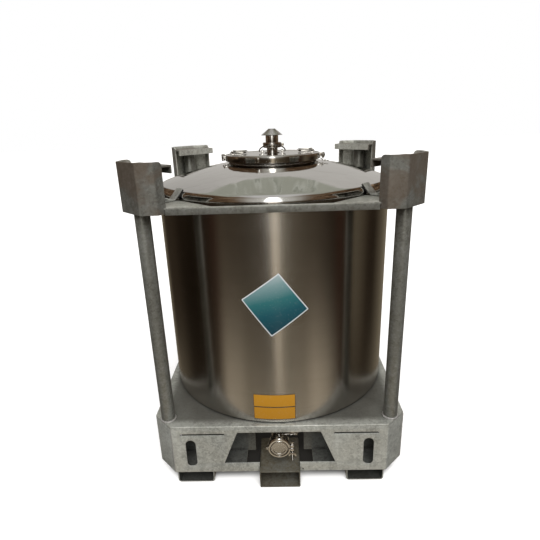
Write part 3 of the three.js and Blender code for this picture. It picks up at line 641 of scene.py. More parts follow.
# ---------- folded sheet ----------
def fold(work, bends, start, heading):
    """Bends a flat sheet drawn in (distance along, height, depth) round vertical edges. Each bend is
    (distance where it begins, degrees, outer radius); the sheet's outer face is at depth 0."""
    for begin, degrees, radius in bends:
        length = radius * math.radians(degrees)
        for k in range(7):
            geom = work.verts[:] + work.edges[:] + work.faces[:]
            bmesh.ops.bisect_plane(work, geom=geom, plane_co=(begin + length * k / 6, 0, 0),
                                   plane_no=(1, 0, 0), dist=1e-6)
    for vert in work.verts:
        s, z, depth = vert.co
        place, turn, done = Vector(start), heading, 0.0
        for begin, degrees, radius in bends:
            length = radius * math.radians(degrees)
            if s <= begin:
                break
            ahead = Vector((math.cos(turn), math.sin(turn)))
            place = place + ahead * (begin - done)
            inward = Vector((-ahead.y, ahead.x))
            centre = place + inward * radius
            swept = min(s - begin, length) / radius
            turn += swept
            outward = Vector((math.sin(turn), -math.cos(turn)))
            place = centre + outward * radius
            done = begin + min(s - begin, length)
            if s < begin + length:
                break
        ahead = Vector((math.cos(turn), math.sin(turn)))
        inward = Vector((-ahead.y, ahead.x))
        spot = place + ahead * (s - done) + inward * depth
        vert.co = (spot.x, spot.y, z)
    return work


# ---------- base ----------
INNER = BASE_HALF - CHAMFER


def octagon(half, inner):
    corners = [(half, -inner), (half, inner), (inner, half), (-inner, half),
               (-half, inner), (-half, -inner), (-inner, -half), (inner, -half)]
    return corners


def deck():
    """The deck plate, rolled over at its upper edge, down to the skirts' outer faces."""
    work = bmesh.new()
    outline = rounded(octagon(BASE_HALF, INNER), 0.012)
    add_slab(work, outline, DECK_UNDER, DECK_TOP, [circle(0, 0, DECK_HOLE_R, ROUND)], top=0.0055,
             bottom=0.0001)
    settle(as_piece("deck", work, ZINC_DECK), "frame_and_tank", "galvanised", "deck_plate")


def skirt(side, turns):
    """One bent side sheet with its window, lashing slots and slits, and the cut corner at its right."""
    bend_r = 0.012
    flat_front = INNER - bend_r * math.tan(math.radians(22.5))
    corner_length = CHAMFER * math.sqrt(2)
    end = flat_front + bend_r * math.radians(45) + corner_length - bend_r * math.tan(math.radians(22.5))
    low, high = SKIRT_BOTTOM, DECK_UNDER - 0.0002
    left, right = -INNER + 0.0006, end - 0.0006
    sill, lintel, wide, narrow, corner = 0.107, 0.274, 0.251, 0.185, 0.004      # the tapered window
    if side == "front":
        gap = 0.0913     # half of the cut-out for the centre foot, which opens into the window
        outline = [(left, low), (-gap, low), (-gap, sill), (-wide, sill, corner),
                   (-narrow, lintel, corner), (narrow, lintel, corner), (wide, sill, corner), (gap, sill),
                   (gap, low), (right, low), (right, high), (left, high)]
        holes = [circle(0.105, 0.070, 0.004, 16)]
    else:
        outline = [(left, low), (right, low), (right, high), (left, high)]
        holes = [rounded([(-wide, sill), (wide, sill), (narrow, lintel), (-narrow, lintel)], corner)]
    for sign in (-1, 1):
        x = sign * 0.3965
        r = 0.0225
        holes.append(arc(x, 0.236 - r, r, 0, 180, 16) + arc(x, 0.094 + r, r, 180, 360, 16))
        a, b = sorted((sign * 0.243, sign * 0.439))
        holes.append(rounded([(a, 0.2605), (b, 0.2605), (b, 0.270), (a, 0.270)], 0.0022, 4))
    work = bmesh.new()
    add_slab(work, rounded(outline, 0.0), 0, SHEET, holes, edge=0.0009)
    fold(work, [(flat_front, 45, bend_r)], (0, -BASE_HALF), 0.0)
    piece = as_piece(f"skirt_sheet_{side}", spin(work, turns), ZINC, 30)
    settle(piece, "frame_and_tank", "galvanised", f"skirt_{side}")


def runner(name):
    """An upward-open channel with rolled corners."""
    low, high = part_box(f"runner_{name}")
    x0, x1 = low.x, high.x
    top, thick, r = high.z, 0.005, 0.015
    outer = [(x0, top), (x0, 0, r), (x1, 0, r), (x1, top)]
    inner = [(x1 - thick, top), (x1 - thick, thick, r - thick), (x0 + thick, thick, r - thick),
             (x0 + thick, top)]
    work = bmesh.new()
    section = rounded([(x, z, *(rest or (0,))) for x, z, *rest in outer + inner], 0, 8)
    add_slab(work, section, low.y, high.y, place=lambda x, y, z: (x, z, y))
    settle(as_piece(f"runner_channel_{name}", work, ZINC_RUNNER), "frame_and_tank", "galvanised",
           f"runner_{name}")


def foot():
    """The box-section foot under the outlet."""
    low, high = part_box("centre_foot")
    wall = 0.005
    outer = rounded([(low.x, 0), (high.x, 0), (high.x, high.z), (low.x, high.z)], 0.007, 6)
    bore = rounded([(low.x + wall, wall), (high.x - wall, wall),
                    (high.x - wall, high.z - wall), (low.x + wall, high.z - wall)], 0.003, 4)
    work = bmesh.new()
    add_slab(work, outer, low.y, high.y, [bore], place=lambda x, y, z: (x, z, y))
    settle(as_piece("centre_foot_box", work, ZINC_FOOT), "frame_and_tank", "galvanised", "centre_foot")


def post(corner, turns):
    """A round tube, with the weld beads where it meets the deck and the ring plate."""
    inner = POST_R - 0.0032
    z0, z1 = POST_LOW.z, POST_HIGH.z
    work = bmesh.new()
    profile = rounded([(inner, z0), (POST_R, z0), (POST_R, z1), (inner, z1)], 0.0008, 2)
    add_turned(work, profile, 64, lambda x, y, z: (x + POST_AT, y + POST_AT, z))
    piece = as_piece(f"post_tube_{corner}", spin(work, turns), ZINC_POST, 40)
    settle(piece, "frame_and_tank", "galvanised", f"post_{corner}")
    for level, z, r in (("deck", DECK_TOP + 0.001, 0.0048), ("ring", RING_HIGH.z + 0.0005, 0.003)):
        ring = [(POST_AT + x, POST_AT + y, z) for x, y in circle(0, 0, POST_R + 0.0006, 72)]
        work = spin(bead(ring, r, True, seed=turns + 11), turns)
        settle(as_piece(f"weld_post_{level}_{corner}", work, WELD, 60), "frame_and_tank", "galvanised")


deck()
for number, side_name in enumerate(["front", "right", "rear", "left"]):
    skirt(side_name, number)
runner("right")
runner("left")
foot()
for number, corner_name in enumerate(CORNERS):
    post(corner_name, number)


# ---------- corner heads and top frame ----------
DIAGONAL = math.sqrt(2)
HEAD_FACE_U = 0.7524     # the head's diagonal face, from the centre
HEAD_END_U = 0.6682      # its free vertical edges
HEAD_RETURN_V = 0.1167   # half the distance between its two returns


def diagonal(u, v):
    """A plan point given along and across the rear right diagonal."""
    return ((u - v) / DIAGONAL, (u + v) / DIAGONAL)


def across_diagonal(x, y, z):
    """Carries (along the diagonal, height, across it) into the frame."""
    px, py = diagonal(x, z)
    return (px, py, y)


def bend_list(lengths, degrees, radius):
    """Bends for fold() where sharp corners would be these lengths apart, and the flat sheet's length."""
    tangent = radius * math.tan(math.radians(degrees / 2))
    s, bends = -tangent, []
    for length in lengths[:-1]:
        s += length - (2 * tangent if bends else 0)
        bends.append((s, degrees, radius))
        s += radius * math.radians(degrees)
    return bends, s + lengths[-1] - tangent


def head(corner, turns):
    """A bent sheet: two returns, two faces and the diagonal face between them."""
    wall = HEAD_HALF * DIAGONAL
    back = wall - HEAD_RETURN_V - HEAD_END_U
    face = (HEAD_FACE_U - (wall - HEAD_RETURN_V)) * DIAGONAL
    middle = 2 * (wall - HEAD_FACE_U)
    bends, length = bend_list([back, face, middle, face, back], 45, 0.011)
    low, high = HEAD_LOW.z, HEAD_HIGH.z
    outline = rounded([(0, low), (length, low), (length, high, 0.014), (0, high, 0.014)], 0.002)
    work = bmesh.new()
    add_slab(work, outline, 0, SHEET, edge=0.0009)
    fold(work, bends, diagonal(HEAD_END_U, -HEAD_RETURN_V), math.pi / 4)
    piece = as_piece(f"head_sheet_{corner}", spin(work, turns), ZINC_DARK, 30)
    settle(piece, "frame_and_tank", "galvanised_dark", f"corner_head_{corner}")


def ring():
    """The plate round the tank's shoulder with its corner gussets, its four edges rolled down into ties."""
    low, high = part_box("top_ring")
    half, hole, gusset, tie_half = high.x, 0.553, 0.549, 0.394
    near = (HEAD_FACE_U - SHEET) * DIAGONAL - 0.005 - half
    work = bmesh.new()
    outline = rounded(octagon(half, near), 0.004)
    opening = rounded(octagon(hole, gusset * DIAGONAL - hole), 0.002)
    under = high.z - SHEET
    add_slab(work, outline, under, high.z, [opening], top=0.0055, bottom=0.0001)
    for k in range(4):
        tie = bmesh.new()
        add_slab(tie, rounded([(-tie_half, low.z), (tie_half, low.z), (tie_half, under), (-tie_half, under)],
                              0.0),
                 0, SHEET, edge=0.0012, place=lambda x, y, z: (x, -half + z, y))
        spin(tie, k)
        mesh = bpy.data.meshes.new("tie")
        tie.to_mesh(mesh)
        tie.free()
        work.from_mesh(mesh)
        bpy.data.meshes.remove(mesh)
    settle(as_piece("ring_plate", work, ZINC_RING, 30), "frame_and_tank", "galvanised", "top_ring")


KNUCKLE_AT = (TANK_R - KNUCKLE_R, TANK_HIGH.z)


def on_slope(distance, reach):
    """A point on the 45 degree slope that the hold-down strap lies on."""
    return (KNUCKLE_AT[0] + (distance - reach) / DIAGONAL, KNUCKLE_AT[1] + (distance + reach) / DIAGONAL)


def clip(corner, turns):
    """A bent strap held by one bolt."""
    z = RING_HIGH.z + 0.0003
    near, thick, top, half = 0.0373, 0.005, 0.018, 0.020

    def bend_u(distance, height):
        return distance * DIAGONAL + KNUCKLE_AT[0] + KNUCKLE_AT[1] - height

    section = rounded([
        (0.632, z, 0), (0.632, z + thick, 0), (bend_u(near + thick, z + thick), z + thick, 0.011),
        (*on_slope(near + thick, top), 0.0015), (*on_slope(near, top), 0.0015), (bend_u(near, z), z, 0.006),
    ], 0, 6)
    work = bmesh.new()
    add_slab(work, section, -half, half, edge=0.0012, place=across_diagonal)
    add_bolt(work, (*diagonal(0.597, 0), z + thick), (0, 0, 1), height=0.0062)
    piece = as_piece(f"clip_strap_{corner}", spin(work, turns), ZINC_CLIP, 30)
    settle(piece, "frame_and_tank", "galvanised", f"hold_down_clip_{corner}")


ring()
for number, corner_name in enumerate(CORNERS):
    head(corner_name, number)
    clip(corner_name, number)


def seams():
    """Welds down the skirts' mitres and where each head meets the ring plate."""
    for k in range(4):
        low, high = SKIRT_BOTTOM + 0.002, DECK_UNDER - 0.001
        at = (BASE_HALF - 0.0012, -INNER + 0.0002)
        work = spin(bead(along((*at, low), (*at, high)), 0.0024, seed=k + 31), k)
        settle(as_piece(f"weld_skirt_{CORNERS[k]}", work, WELD, 60), "frame_and_tank", "galvanised")
        z = RING_HIGH.z + 0.0012
        v = HEAD_RETURN_V - SHEET
        for sign in (-1, 1):
            start, end = diagonal(HEAD_END_U, sign * v), diagonal(HEAD_FACE_U - 0.045, sign * v)
            work = spin(bead(along((*start, z), (*end, z)), 0.0028, seed=k + 41 + sign), k)
            name = f"weld_head_{CORNERS[k]}_{'a' if sign < 0 else 'b'}"
            settle(as_piece(name, work, WELD, 60), "frame_and_tank", "galvanised")


seams()


# ---------- tank ----------
def dish_curve(edge, inner, depth, knuckle_steps=14, crown_steps=26):
    """(radius, height above the weld) on a dished end, from its edge to the inner radius."""
    knuckle_x = edge - KNUCKLE_R
    crown_z = -math.sqrt((CROWN_R - KNUCKLE_R) ** 2 - knuckle_x ** 2)
    meet = math.degrees(math.atan2(-crown_z, knuckle_x))
    curve = arc(knuckle_x, 0, KNUCKLE_R - depth, 0, meet, knuckle_steps)
    last = curve[-1][0]
    for i in range(1, crown_steps + 1):
        r = last + (inner - last) * i / crown_steps
        curve.append((r, crown_z + math.sqrt((CROWN_R - depth) ** 2 - r * r)))
    return curve


def dish_height(r):
    crown_z = -math.sqrt((CROWN_R - KNUCKLE_R) ** 2 - (TANK_R - KNUCKLE_R) ** 2)
    return crown_z + math.sqrt(CROWN_R ** 2 - r * r)


def tank():
    work = bmesh.new()
    inside = TANK_R - TANK_WALL
    z0, z1 = TANK_LOW.z, TANK_HIGH.z
    add_turned(work, [(inside, z0), (TANK_R, z0), (TANK_R, z1), (inside, z1)])
    settle(as_piece("tank_wall", work, BRUSHED), "frame_and_tank", "brushed_stainless", "tank_shell")

    weld = z1 + 0.0003
    hole = NECK_R + 0.0003
    outer = dish_curve(TANK_R, hole, 0)
    inner = dish_curve(TANK_R, hole, TANK_WALL)[::-1]
    work = bmesh.new()
    add_turned(work, [(r, weld + h) for r, h in outer + inner])
    settle(as_piece("tank_dome", work, MIRROR), "frame_and_tank", "polished_stainless", "top_dish")

    edge = inside - 0.0003
    base = 0.350
    outer = dish_curve(edge, 0, 0)
    inner = dish_curve(edge, 0, TANK_WALL)[::-1]
    work = bmesh.new()
    add_turned(work, [(r, base - h) for r, h in outer + inner])
    settle(as_piece("tank_floor", work, BRUSHED), "frame_and_tank", "brushed_stainless", "bottom_dish")

    low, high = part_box("seat_ring")
    work = bmesh.new()
    add_turned(work, rounded([(0.512, low.z), (high.x, low.z), (high.x, high.z), (0.512, high.z)], 0.001, 3))
    settle(as_piece("tank_cushion", work, RUBBER), "frame_and_tank", "rubber", "seat_ring")

    seam = [(0, inside + 0.0029, z) for z in (z0 + 0.004 + 0.004 * i for i in range(int((z1 - z0) / 0.004)))]
    work = bead(seam, 0.0016, seed=5, ripple=0.1)
    settle(as_piece("weld_shell", work, WELD_STEEL, 60), "frame_and_tank", "brushed_stainless")


def neck():
    low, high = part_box("manhole_neck")
    inner, flange_r, thick = NECK_R - 0.006, high.x, 0.006
    work = bmesh.new()
    add_turned(work, rounded([
        (inner, low.z), (NECK_R, low.z), (NECK_R, high.z - thick, 0.003), (flange_r, high.z - thick),
        (flange_r, high.z), (inner, high.z),
    ], 0.001, 4), 144)
    settle(as_piece("neck_ring", work, NECK), "frame_and_tank", "polished_stainless", "manhole_neck")
    z = TANK_HIGH.z + dish_height(NECK_R) + 0.0006
    weld = [(x, y, z) for x, y in circle(0, 0, NECK_R + 0.0012, 220)]
    settle(as_piece("weld_neck", bead(weld, 0.0028, True, 3, 0.1), WELD_STEEL, 60),
           "frame_and_tank", "polished_stainless")


tank()
neck()


# ---------- lid ----------
GASKET_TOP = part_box("lid_gasket")[1].z
HANDLE = {"x": 0.187, "reach": 0.062, "half": 0.060, "rod": 0.004, "z": LID_TOP + 0.008}
BAIL = {"half": 0.061, "reach": 0.058, "rod": 0.003, "z": LID_TOP + 0.006, "raised": 33}


def add_lug(work, x, y, thick_along_x, bore, height):
    """A small lug with a round top and a bore, standing on the lid."""
    half_w, half_t = 0.009, 0.004
    r = half_w
    top = LID_TOP + 0.015
    outline = [(-half_w, LID_TOP - 0.001), (half_w, LID_TOP - 0.001)] + arc(0, top - r, r, 0, 180, 14)
    hole = circle(0, height, bore, 24)
    if thick_along_x:
        def place(a, b, c):
            return (x + c, y + a, b)
    else:
        def place(a, b, c):
            return (x + a, y + c, b)
    add_slab(work, outline, -half_t, half_t, [hole], edge=0.0008, place=place)


def lid():
    """The pressed lid with its lugs."""
    under = GASKET_TOP + 0.0003
    work = bmesh.new()
    add_turned(work, rounded([
        (0.018, LID_TOP - 0.005, 0.0005), (0.186, LID_TOP - 0.005, 0.004), (0.197, under, 0.003),
        (LID_R, under, 0.0015), (LID_R, under + 0.008, 0.0025), (0.207, under + 0.008, 0.002),
        (0.203, LID_TOP, 0.0045), (0.150, LID_TOP, 0.004), (0.147, LID_TOP - 0.0012, 0.004),
        (0.060, LID_TOP - 0.0012, 0.004), (0.057, LID_TOP, 0.004), (0.018, LID_TOP, 0.0005),
    ], 0.001, 5), 160)
    for sx in (-1, 1):
        for sy in (-1, 1):
            add_lug(work, sx * HANDLE["x"], sy * 0.046, False, HANDLE["rod"] + 0.0006, HANDLE["z"])
        add_lug(work, sx * (BAIL["half"] - 0.014), 0, True, BAIL["rod"] + 0.0009, BAIL["z"])
    settle(as_piece("lid_plate", work, CHROME, 30), "lid", "polished_stainless", "lid")
    low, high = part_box("lid_gasket")
    work = bmesh.new()
    add_turned(work, rounded([(0.201, low.z), (high.x, low.z), (high.x, high.z), (0.201, high.z)], 0.0015, 4),
               144)
    settle(as_piece("lid_seal", work, RUBBER), "lid", "rubber", "lid_gasket")


def lid_handles():
    x, reach, half, z = HANDLE["x"], HANDLE["reach"], HANDLE["half"], HANDLE["z"]
    corners = [(x, -0.040, z), (x, -half, z), (x - reach, -half, z), (x - reach, half, z), (x, half, z),
               (x, 0.040, z)]
    for name, turns in (("right", 0), ("left", 2)):
        work = spin(add_tube(bmesh.new(), bent_path(corners, 0.010, 8), HANDLE["rod"], 16), turns)
        piece = as_piece(f"drop_handle_{name}", work, ROD, 50)
        settle(piece, f"lid_handle_{name}", "polished_stainless", f"lid_handle_{name}")


def bail():
    """The wire bail that leans forward on the relief valve's clamp."""
    half, reach, bend = BAIL["half"], BAIL["reach"], 0.007
    arch = [(half * c, -bend + (reach - bend) * s, 0) for c, s in arc(0, 0, 1, 180, 360, 30)]
    end = half - 0.019
    path = bent_path([(-end, 0, 0), (-half, 0, 0), *arch, (half, 0, 0), (end, 0, 0)], 0.006, 5)
    lean = Matrix.Rotation(math.radians(-BAIL["raised"]), 3, "X")
    points = [lean @ Vector(p) + Vector((0, 0, BAIL["z"])) for p in path]
    work = add_tube(bmesh.new(), points, BAIL["rod"], 14)
    settle(as_piece("bail_wire", work, ROD, 50), "bail", "polished_stainless", "bail_handle")


lid()
lid_handles()
bail()


# ---------- lid clamp ring ----------
CLAMP = {"inner": 0.219, "outer": 0.224, "lip": 0.209, "z0": 1.398, "z1": 1.426, "pin_x": -0.236,
         "screw_x": 0.240, "screw_z": 1.412}


def add_clamp_half(work, start):
    inner, outer, lip, z0, z1 = (CLAMP[k] for k in ("inner", "outer", "lip", "z0", "z1"))
    under = GASKET_TOP + 0.009
    split = 1.6
    profile = rounded([
        (inner, z0), (outer, z0), (outer, z1, 0.004), (lip, z1, 0.0015), (lip, under, 0.0005),
        (inner, under, 0.002),
    ], 0.0008, 5)
    add_turned(work, profile, 110, None, math.radians(start + split), math.radians(180 - 2 * split))


def add_lug_plate(work, x0, x1, z0, z1, y0, y1, bore, at):
    """A clamping lug with rounded outer corners, bored along Y."""
    r = (z1 - z0) / 2 - 0.0005
    outline = rounded([(x0, z0, 0), (x1, z0, r), (x1, z1, r), (x0, z1, 0)], 0, 8)
    add_slab(work, outline, y0, y1, [circle(*at, bore, 24)], edge=0.0008, place=lambda a, b, c: (a, c, b))


def clamp_front():
    outer, pin_x = CLAMP["outer"], CLAMP["pin_x"]
    at = (CLAMP["screw_x"], CLAMP["screw_z"])
    work = bmesh.new()
    add_clamp_half(work, 180)
    knuckle = rounded([(0.0046, 1.407), (0.008, 1.407), (0.008, 1.417), (0.0046, 1.417)], 0.0006, 2)
    add_turned(work, knuckle, 32, lambda x, y, z: (x + pin_x, y, z))
    arm = rounded([(pin_x - 0.007, -0.0085), (pin_x, -0.012), (-outer + 0.001, -0.012),
                   (-outer + 0.001, -0.007), (pin_x, -0.007)], 0.001)
    add_slab(work, arm, 1.407, 1.417, edge=0.0006)
    add_lug_plate(work, outer - 0.002, at[0] + 0.010, 1.403, 1.421, -0.016, -0.007, 0.0046, at)
    seal = rounded([(outer - 0.002, -0.009), (outer + 0.009, -0.009, 0.003),
                    (outer + 0.009, 0.009, 0.003), (outer - 0.002, 0.009)], 0.0004)
    turn = math.radians(-107)
    cos, sin = math.cos(turn), math.sin(turn)
    add_slab(work, seal, 1.402, 1.422, [], edge=0.001,
             place=lambda x, y, z: (x * cos - y * sin, x * sin + y * cos, z))
    piece = as_piece("clamp_band_front", work, CHROME, 30)
    settle(piece, "clamp_front", "polished_stainless", "clamp_ring_front")


def clamp_rear():
    outer, pin_x = CLAMP["outer"], CLAMP["pin_x"]
    at = (CLAMP["screw_x"], CLAMP["screw_z"])
    work = bmesh.new()
    add_clamp_half(work, 0)
    for z0, z1 in ((1.397, 1.4066), (1.4174, 1.427)):
        add_turned(work, rounded([(0.0038, z0), (0.008, z0), (0.008, z1), (0.0038, z1)], 0.0006, 2), 32,
                   lambda x, y, z: (x + pin_x, y, z))
        arm = rounded([(pin_x - 0.006, 0.0052), (pin_x, 0.004), (-outer + 0.001, 0.004),
                       (-outer + 0.001, 0.009), (pin_x, 0.009)], 0.001)
        add_slab(work, arm, z0, z1, edge=0.0006)
    pin = [(0, 1.395), (0.0034, 1.395), (0.004, 1.3956), (0.004, 1.4284), (0.0034, 1.429), (0, 1.429)]
    add_turned(work, pin, 28, lambda x, y, z: (x + pin_x, y, z))
    add_lug_plate(work, outer - 0.002, at[0] + 0.010, 1.403, 1.421, 0.007, 0.016, 0.0065, at)
    piece = as_piece("clamp_band_rear", work, CHROME, 30)
    settle(piece, "clamp_rear", "polished_stainless", "clamp_ring_rear")


def thread(r, z0, z1, pitch=0.0012, depth=0.0003):
    """A threaded stretch of a shank's profile, from z0 to z1."""
    count = int((z1 - z0) / pitch)
    points = []
    for i in range(count):
        points += [(r, z0 + pitch * (i + 0.2)), (r - depth, z0 + pitch * (i + 0.7))]
    return points


def wing_outline(side):
    """One ear of a wing screw, from its hub outwards."""
    points = [(0.003, -0.0035), (0.006, -0.0045), (0.0135, -0.0055), (0.0142, 0.001), (0.0125, 0.0058),
              (0.003, 0.004)]
    return rounded([(side * a, b) for a, b in points], 0.0018, 4)


def clamp_screw():
    """A wing screw through the front half's lug, reaching the rear one."""
    x, z = CLAMP["screw_x"], CLAMP["screw_z"]

    def place(a, b, c):
        return (x + a, -c, z + b)

    work = bmesh.new()
    shank = [(0, -0.020), (0.0036, -0.020), *thread(0.004, -0.0195, 0.0155), (0.004, 0.016), (0.004, 0.038),
             (0, 0.038)]
    add_turned(work, shank, 24, place)
    collar = rounded([(0.0035, 0.0165), (0.008, 0.0165), (0.0075, 0.030), (0.0035, 0.030)], 0.0012, 3)
    add_turned(work, collar, 32, place)
    for side in (-1, 1):
        add_slab(work, wing_outline(side), 0.025, 0.029, edge=0.0014,
                 place=lambda a, b, c: place(b, a, c))
    settle(as_piece("wing_screw", work, ROD, 40), "clamp_screw", "polished_stainless", "clamp_screw")


def chain():
    """Welded links from the clamp to a ring that lies on the dome."""
    centres = [Vector(p) for p in (
        (0.227, -0.050, 1.4034), (0.231, -0.051, 1.3944), (0.2398, -0.053, 1.3908),
        (0.2518, -0.0565, 1.3890))]
    work = bmesh.new()
    for i, centre in enumerate(centres):
        last = i == len(centres) - 1
        ahead = (centres[min(i + 1, len(centres) - 1)] - centres[max(i - 1, 0)]).normalized()
        level = Vector((0, 0, 1)).cross(ahead).normalized()
        across = level if i % 2 else ahead.cross(level)
        long_half, wide_half = (0.0093, 0.0093) if last else (0.0068, 0.0052)
        loop = [centre + ahead * (long_half * math.cos(a)) + across * (wide_half * math.sin(a))
                for a in (math.tau * k / 28 for k in range(28))]
        add_tube(work, loop, 0.0013, 10, True)
    settle(as_piece("chain_links", work, CHROME, 60), "clamp_front", "polished_stainless", "retaining_chain")


clamp_front()
clamp_rear()
clamp_screw()
chain()


# ---------- relief valve ----------
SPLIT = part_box("relief_base")[1].z
FERRULE_R = 0.037


def relief():
    """The valve on the lid: two ferrules in a clamp, a ported body, its poppet and spring, and the hood."""
    z0 = LID_TOP + 0.0003
    work = bmesh.new()
    add_turned(work, rounded([
        (0.020, z0, 0), (0.035, z0), (0.035, z0 + 0.003, 0.0012), (0.0262, z0 + 0.0034, 0.003),
        (0.026, SPLIT - 0.006, 0.003), (FERRULE_R, SPLIT - 0.003), (FERRULE_R, SPLIT, 0.0004),
        (0.020, SPLIT, 0.0004),
    ], 0.0007, 5), 80)
    settle(as_piece("valve_stub", work, CHROME), "lid", "polished_stainless", "relief_base")

    r, bore, port_low, top = 0.030, 0.026, 1.510, 1.520
    seat = SPLIT + 0.0003
    work = bmesh.new()
    add_turned(work, rounded([
        (0.015, seat), (FERRULE_R, seat), (FERRULE_R, seat + 0.003), (r + 0.0005, seat + 0.005, 0.003),
        (r, seat + 0.008, 0.003), (r, port_low, 0.0004), (bore, port_low, 0.0004),
        (bore, seat + 0.004, 0.001),
        (0.015, seat + 0.004),
    ], 0.0006, 4), 80)
    pillar = rounded([(bore, port_low - 0.001), (r, port_low - 0.001), (r, top), (bore, top)], 0.0004, 2)
    for k in range(4):
        add_turned(work, pillar, 14, None, math.radians(90 * k - 29.5), math.radians(59))
    crown = rounded([(bore, 1.5165), (r, 1.5165), (r, top), (bore, top)], 0.0004, 2)
    add_turned(work, crown, 80)
    settle(as_piece("valve_tube", work, CHROME), "lid", "polished_stainless", "relief_body")

    under = 1.5204
    work = bmesh.new()
    add_turned(work, [(0, under), (0.031, under), *arc(0.0487, 1.5085, 0.001, 200, 380, 8),
                      (0.0180, HOOD_TOP - 0.0021), *arc(0.0155, HOOD_TOP - 0.0015, 0.0015, 50, 90, 5),
                      (0, HOOD_TOP)], 96)
    settle(as_piece("valve_hood", work, BRUSHED_SMALL), "lid", "brushed_stainless", "relief_hood")

    work = bmesh.new()
    ring_low, ring_high = 1.451, 1.475
    inner = FERRULE_R + 0.0006
    add_turned(work, rounded([
        (0.0312, ring_low), (0.041, ring_low, 0.002), (0.044, ring_low + 0.004, 0.002),
        (0.044, ring_high - 0.004, 0.002), (0.041, ring_high, 0.002), (0.0315, ring_high),
        (0.0315, ring_high - 0.003), (inner, ring_high - 0.006), (inner, ring_low + 0.005),
        (0.0312, ring_low + 0.002),
    ], 0.0005, 4), 80, None, math.radians(5), math.radians(350))
    mid = (ring_low + ring_high) / 2
    for y0, y1 in ((-0.010, -0.0025), (0.0025, 0.010)):
        add_lug_plate(work, 0.042, 0.056, mid - 0.006, mid + 0.006, y0, y1, 0.0036, (0.050, mid))
    bolt = [(0, -0.013), (0.0055, -0.013), (0.0055, -0.0105), (0.0035, -0.0105),
            *thread(0.0035, -0.010, 0.0185), (0.0032, 0.020), (0, 0.020)]
    add_turned(work, bolt, 20, lambda x, y, z: (0.050 + x, -z, mid + y))
    for side in (-1, 1):
        ear = rounded([(side * 0.002, -0.0028), (side * 0.0095, -0.0042), (side * 0.0095, 0.0035),
                       (side * 0.002, 0.0028)], 0.002)
        add_slab(work, ear, 0.0142, 0.0188, edge=0.001, place=lambda a, b, c: (0.050 + b, -c, mid + a))
    settle(as_piece("valve_clamp", work, CHROME, 35), "lid", "polished_stainless", "relief_clamp")

    z = seat + 0.0044
    work = bmesh.new()
    add_turned(work, [(0, z), (0.0225, z), (0.023, z + 0.0005), (0.023, z + 0.0035), (0.0222, z + 0.004),
                      (0.006, z + 0.004), (0.004, z + 0.006), (0.004, 1.4992), (0.0032, 1.500), (0, 1.500)],
                      64)
    settle(as_piece("valve_poppet", work, BRUSHED_SMALL), "relief_poppet", "brushed_stainless",
           "relief_poppet")

    low, high, turns = 1.4738, 1.5188, 5
    coil = []
    for k in range(turns * 24 + 1):
        a = math.tau * k / 24
        coil.append((0.011 * math.cos(a), 0.011 * math.sin(a), low + (high - low) * k / (turns * 24)))
    work = add_tube(bmesh.new(), coil, 0.0012, 8)
    spring = settle(as_piece("valve_spring", work, CHROME, 60), "lid", "polished_stainless", "relief_spring")
    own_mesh(spring)


relief()


# ---------- outlet ----------
STEM_Y = -0.530
BORE_R = 0.032
PIPE_R = 0.035
FERRULE_BIG = CAP_HIGH.x


def forward(x, y, z):
    """Carries a shape turned about the vertical axis onto the outlet's axis, height running forward."""
    return (x, -z, OUTLET_Z + y)


def pipe():
    """The drain pipe: down from the bottom dish, round an elbow and forward to the valve."""
    down = 0.350 - dish_height(0) + 0.006
    bend_y = -0.290
    path = bent_path([(0, bend_y, down), (0, bend_y, OUTLET_Z), (0, STEM_Y + 0.0163, OUTLET_Z)], 0.055, 14)
    work = bmesh.new()
    rings = []
    for i, here in enumerate(path):
        ahead = path[min(i + 1, len(path) - 1)]
        behind = path[max(i - 1, 0)]
        tangent = (ahead - behind).normalized()
        side = Vector((1, 0, 0))
        up = side.cross(tangent)
        rings.append([[work.verts.new(here + r * (math.cos(a) * side + math.sin(a) * up))
                       for a in (math.tau * k / 48 for k in range(48))] for r in (PIPE_R, BORE_R)])
    for (a_out, a_in), (b_out, b_in) in zip(rings, rings[1:]):
        for k in range(48):
            m = (k + 1) % 48
            work.faces.new((a_out[k], a_out[m], b_out[m], b_out[k]))
            work.faces.new((a_in[k], b_in[k], b_in[m], a_in[m]))
    for out_ring, in_ring in (rings[0], rings[-1]):
        for k in range(48):
            m = (k + 1) % 48
            work.faces.new((out_ring[k], out_ring[m], in_ring[m], in_ring[k]))
    settle(as_piece("drain_pipe", work, BRUSHED_SMALL), "frame_and_tank", "brushed_stainless", "outlet_pipe")


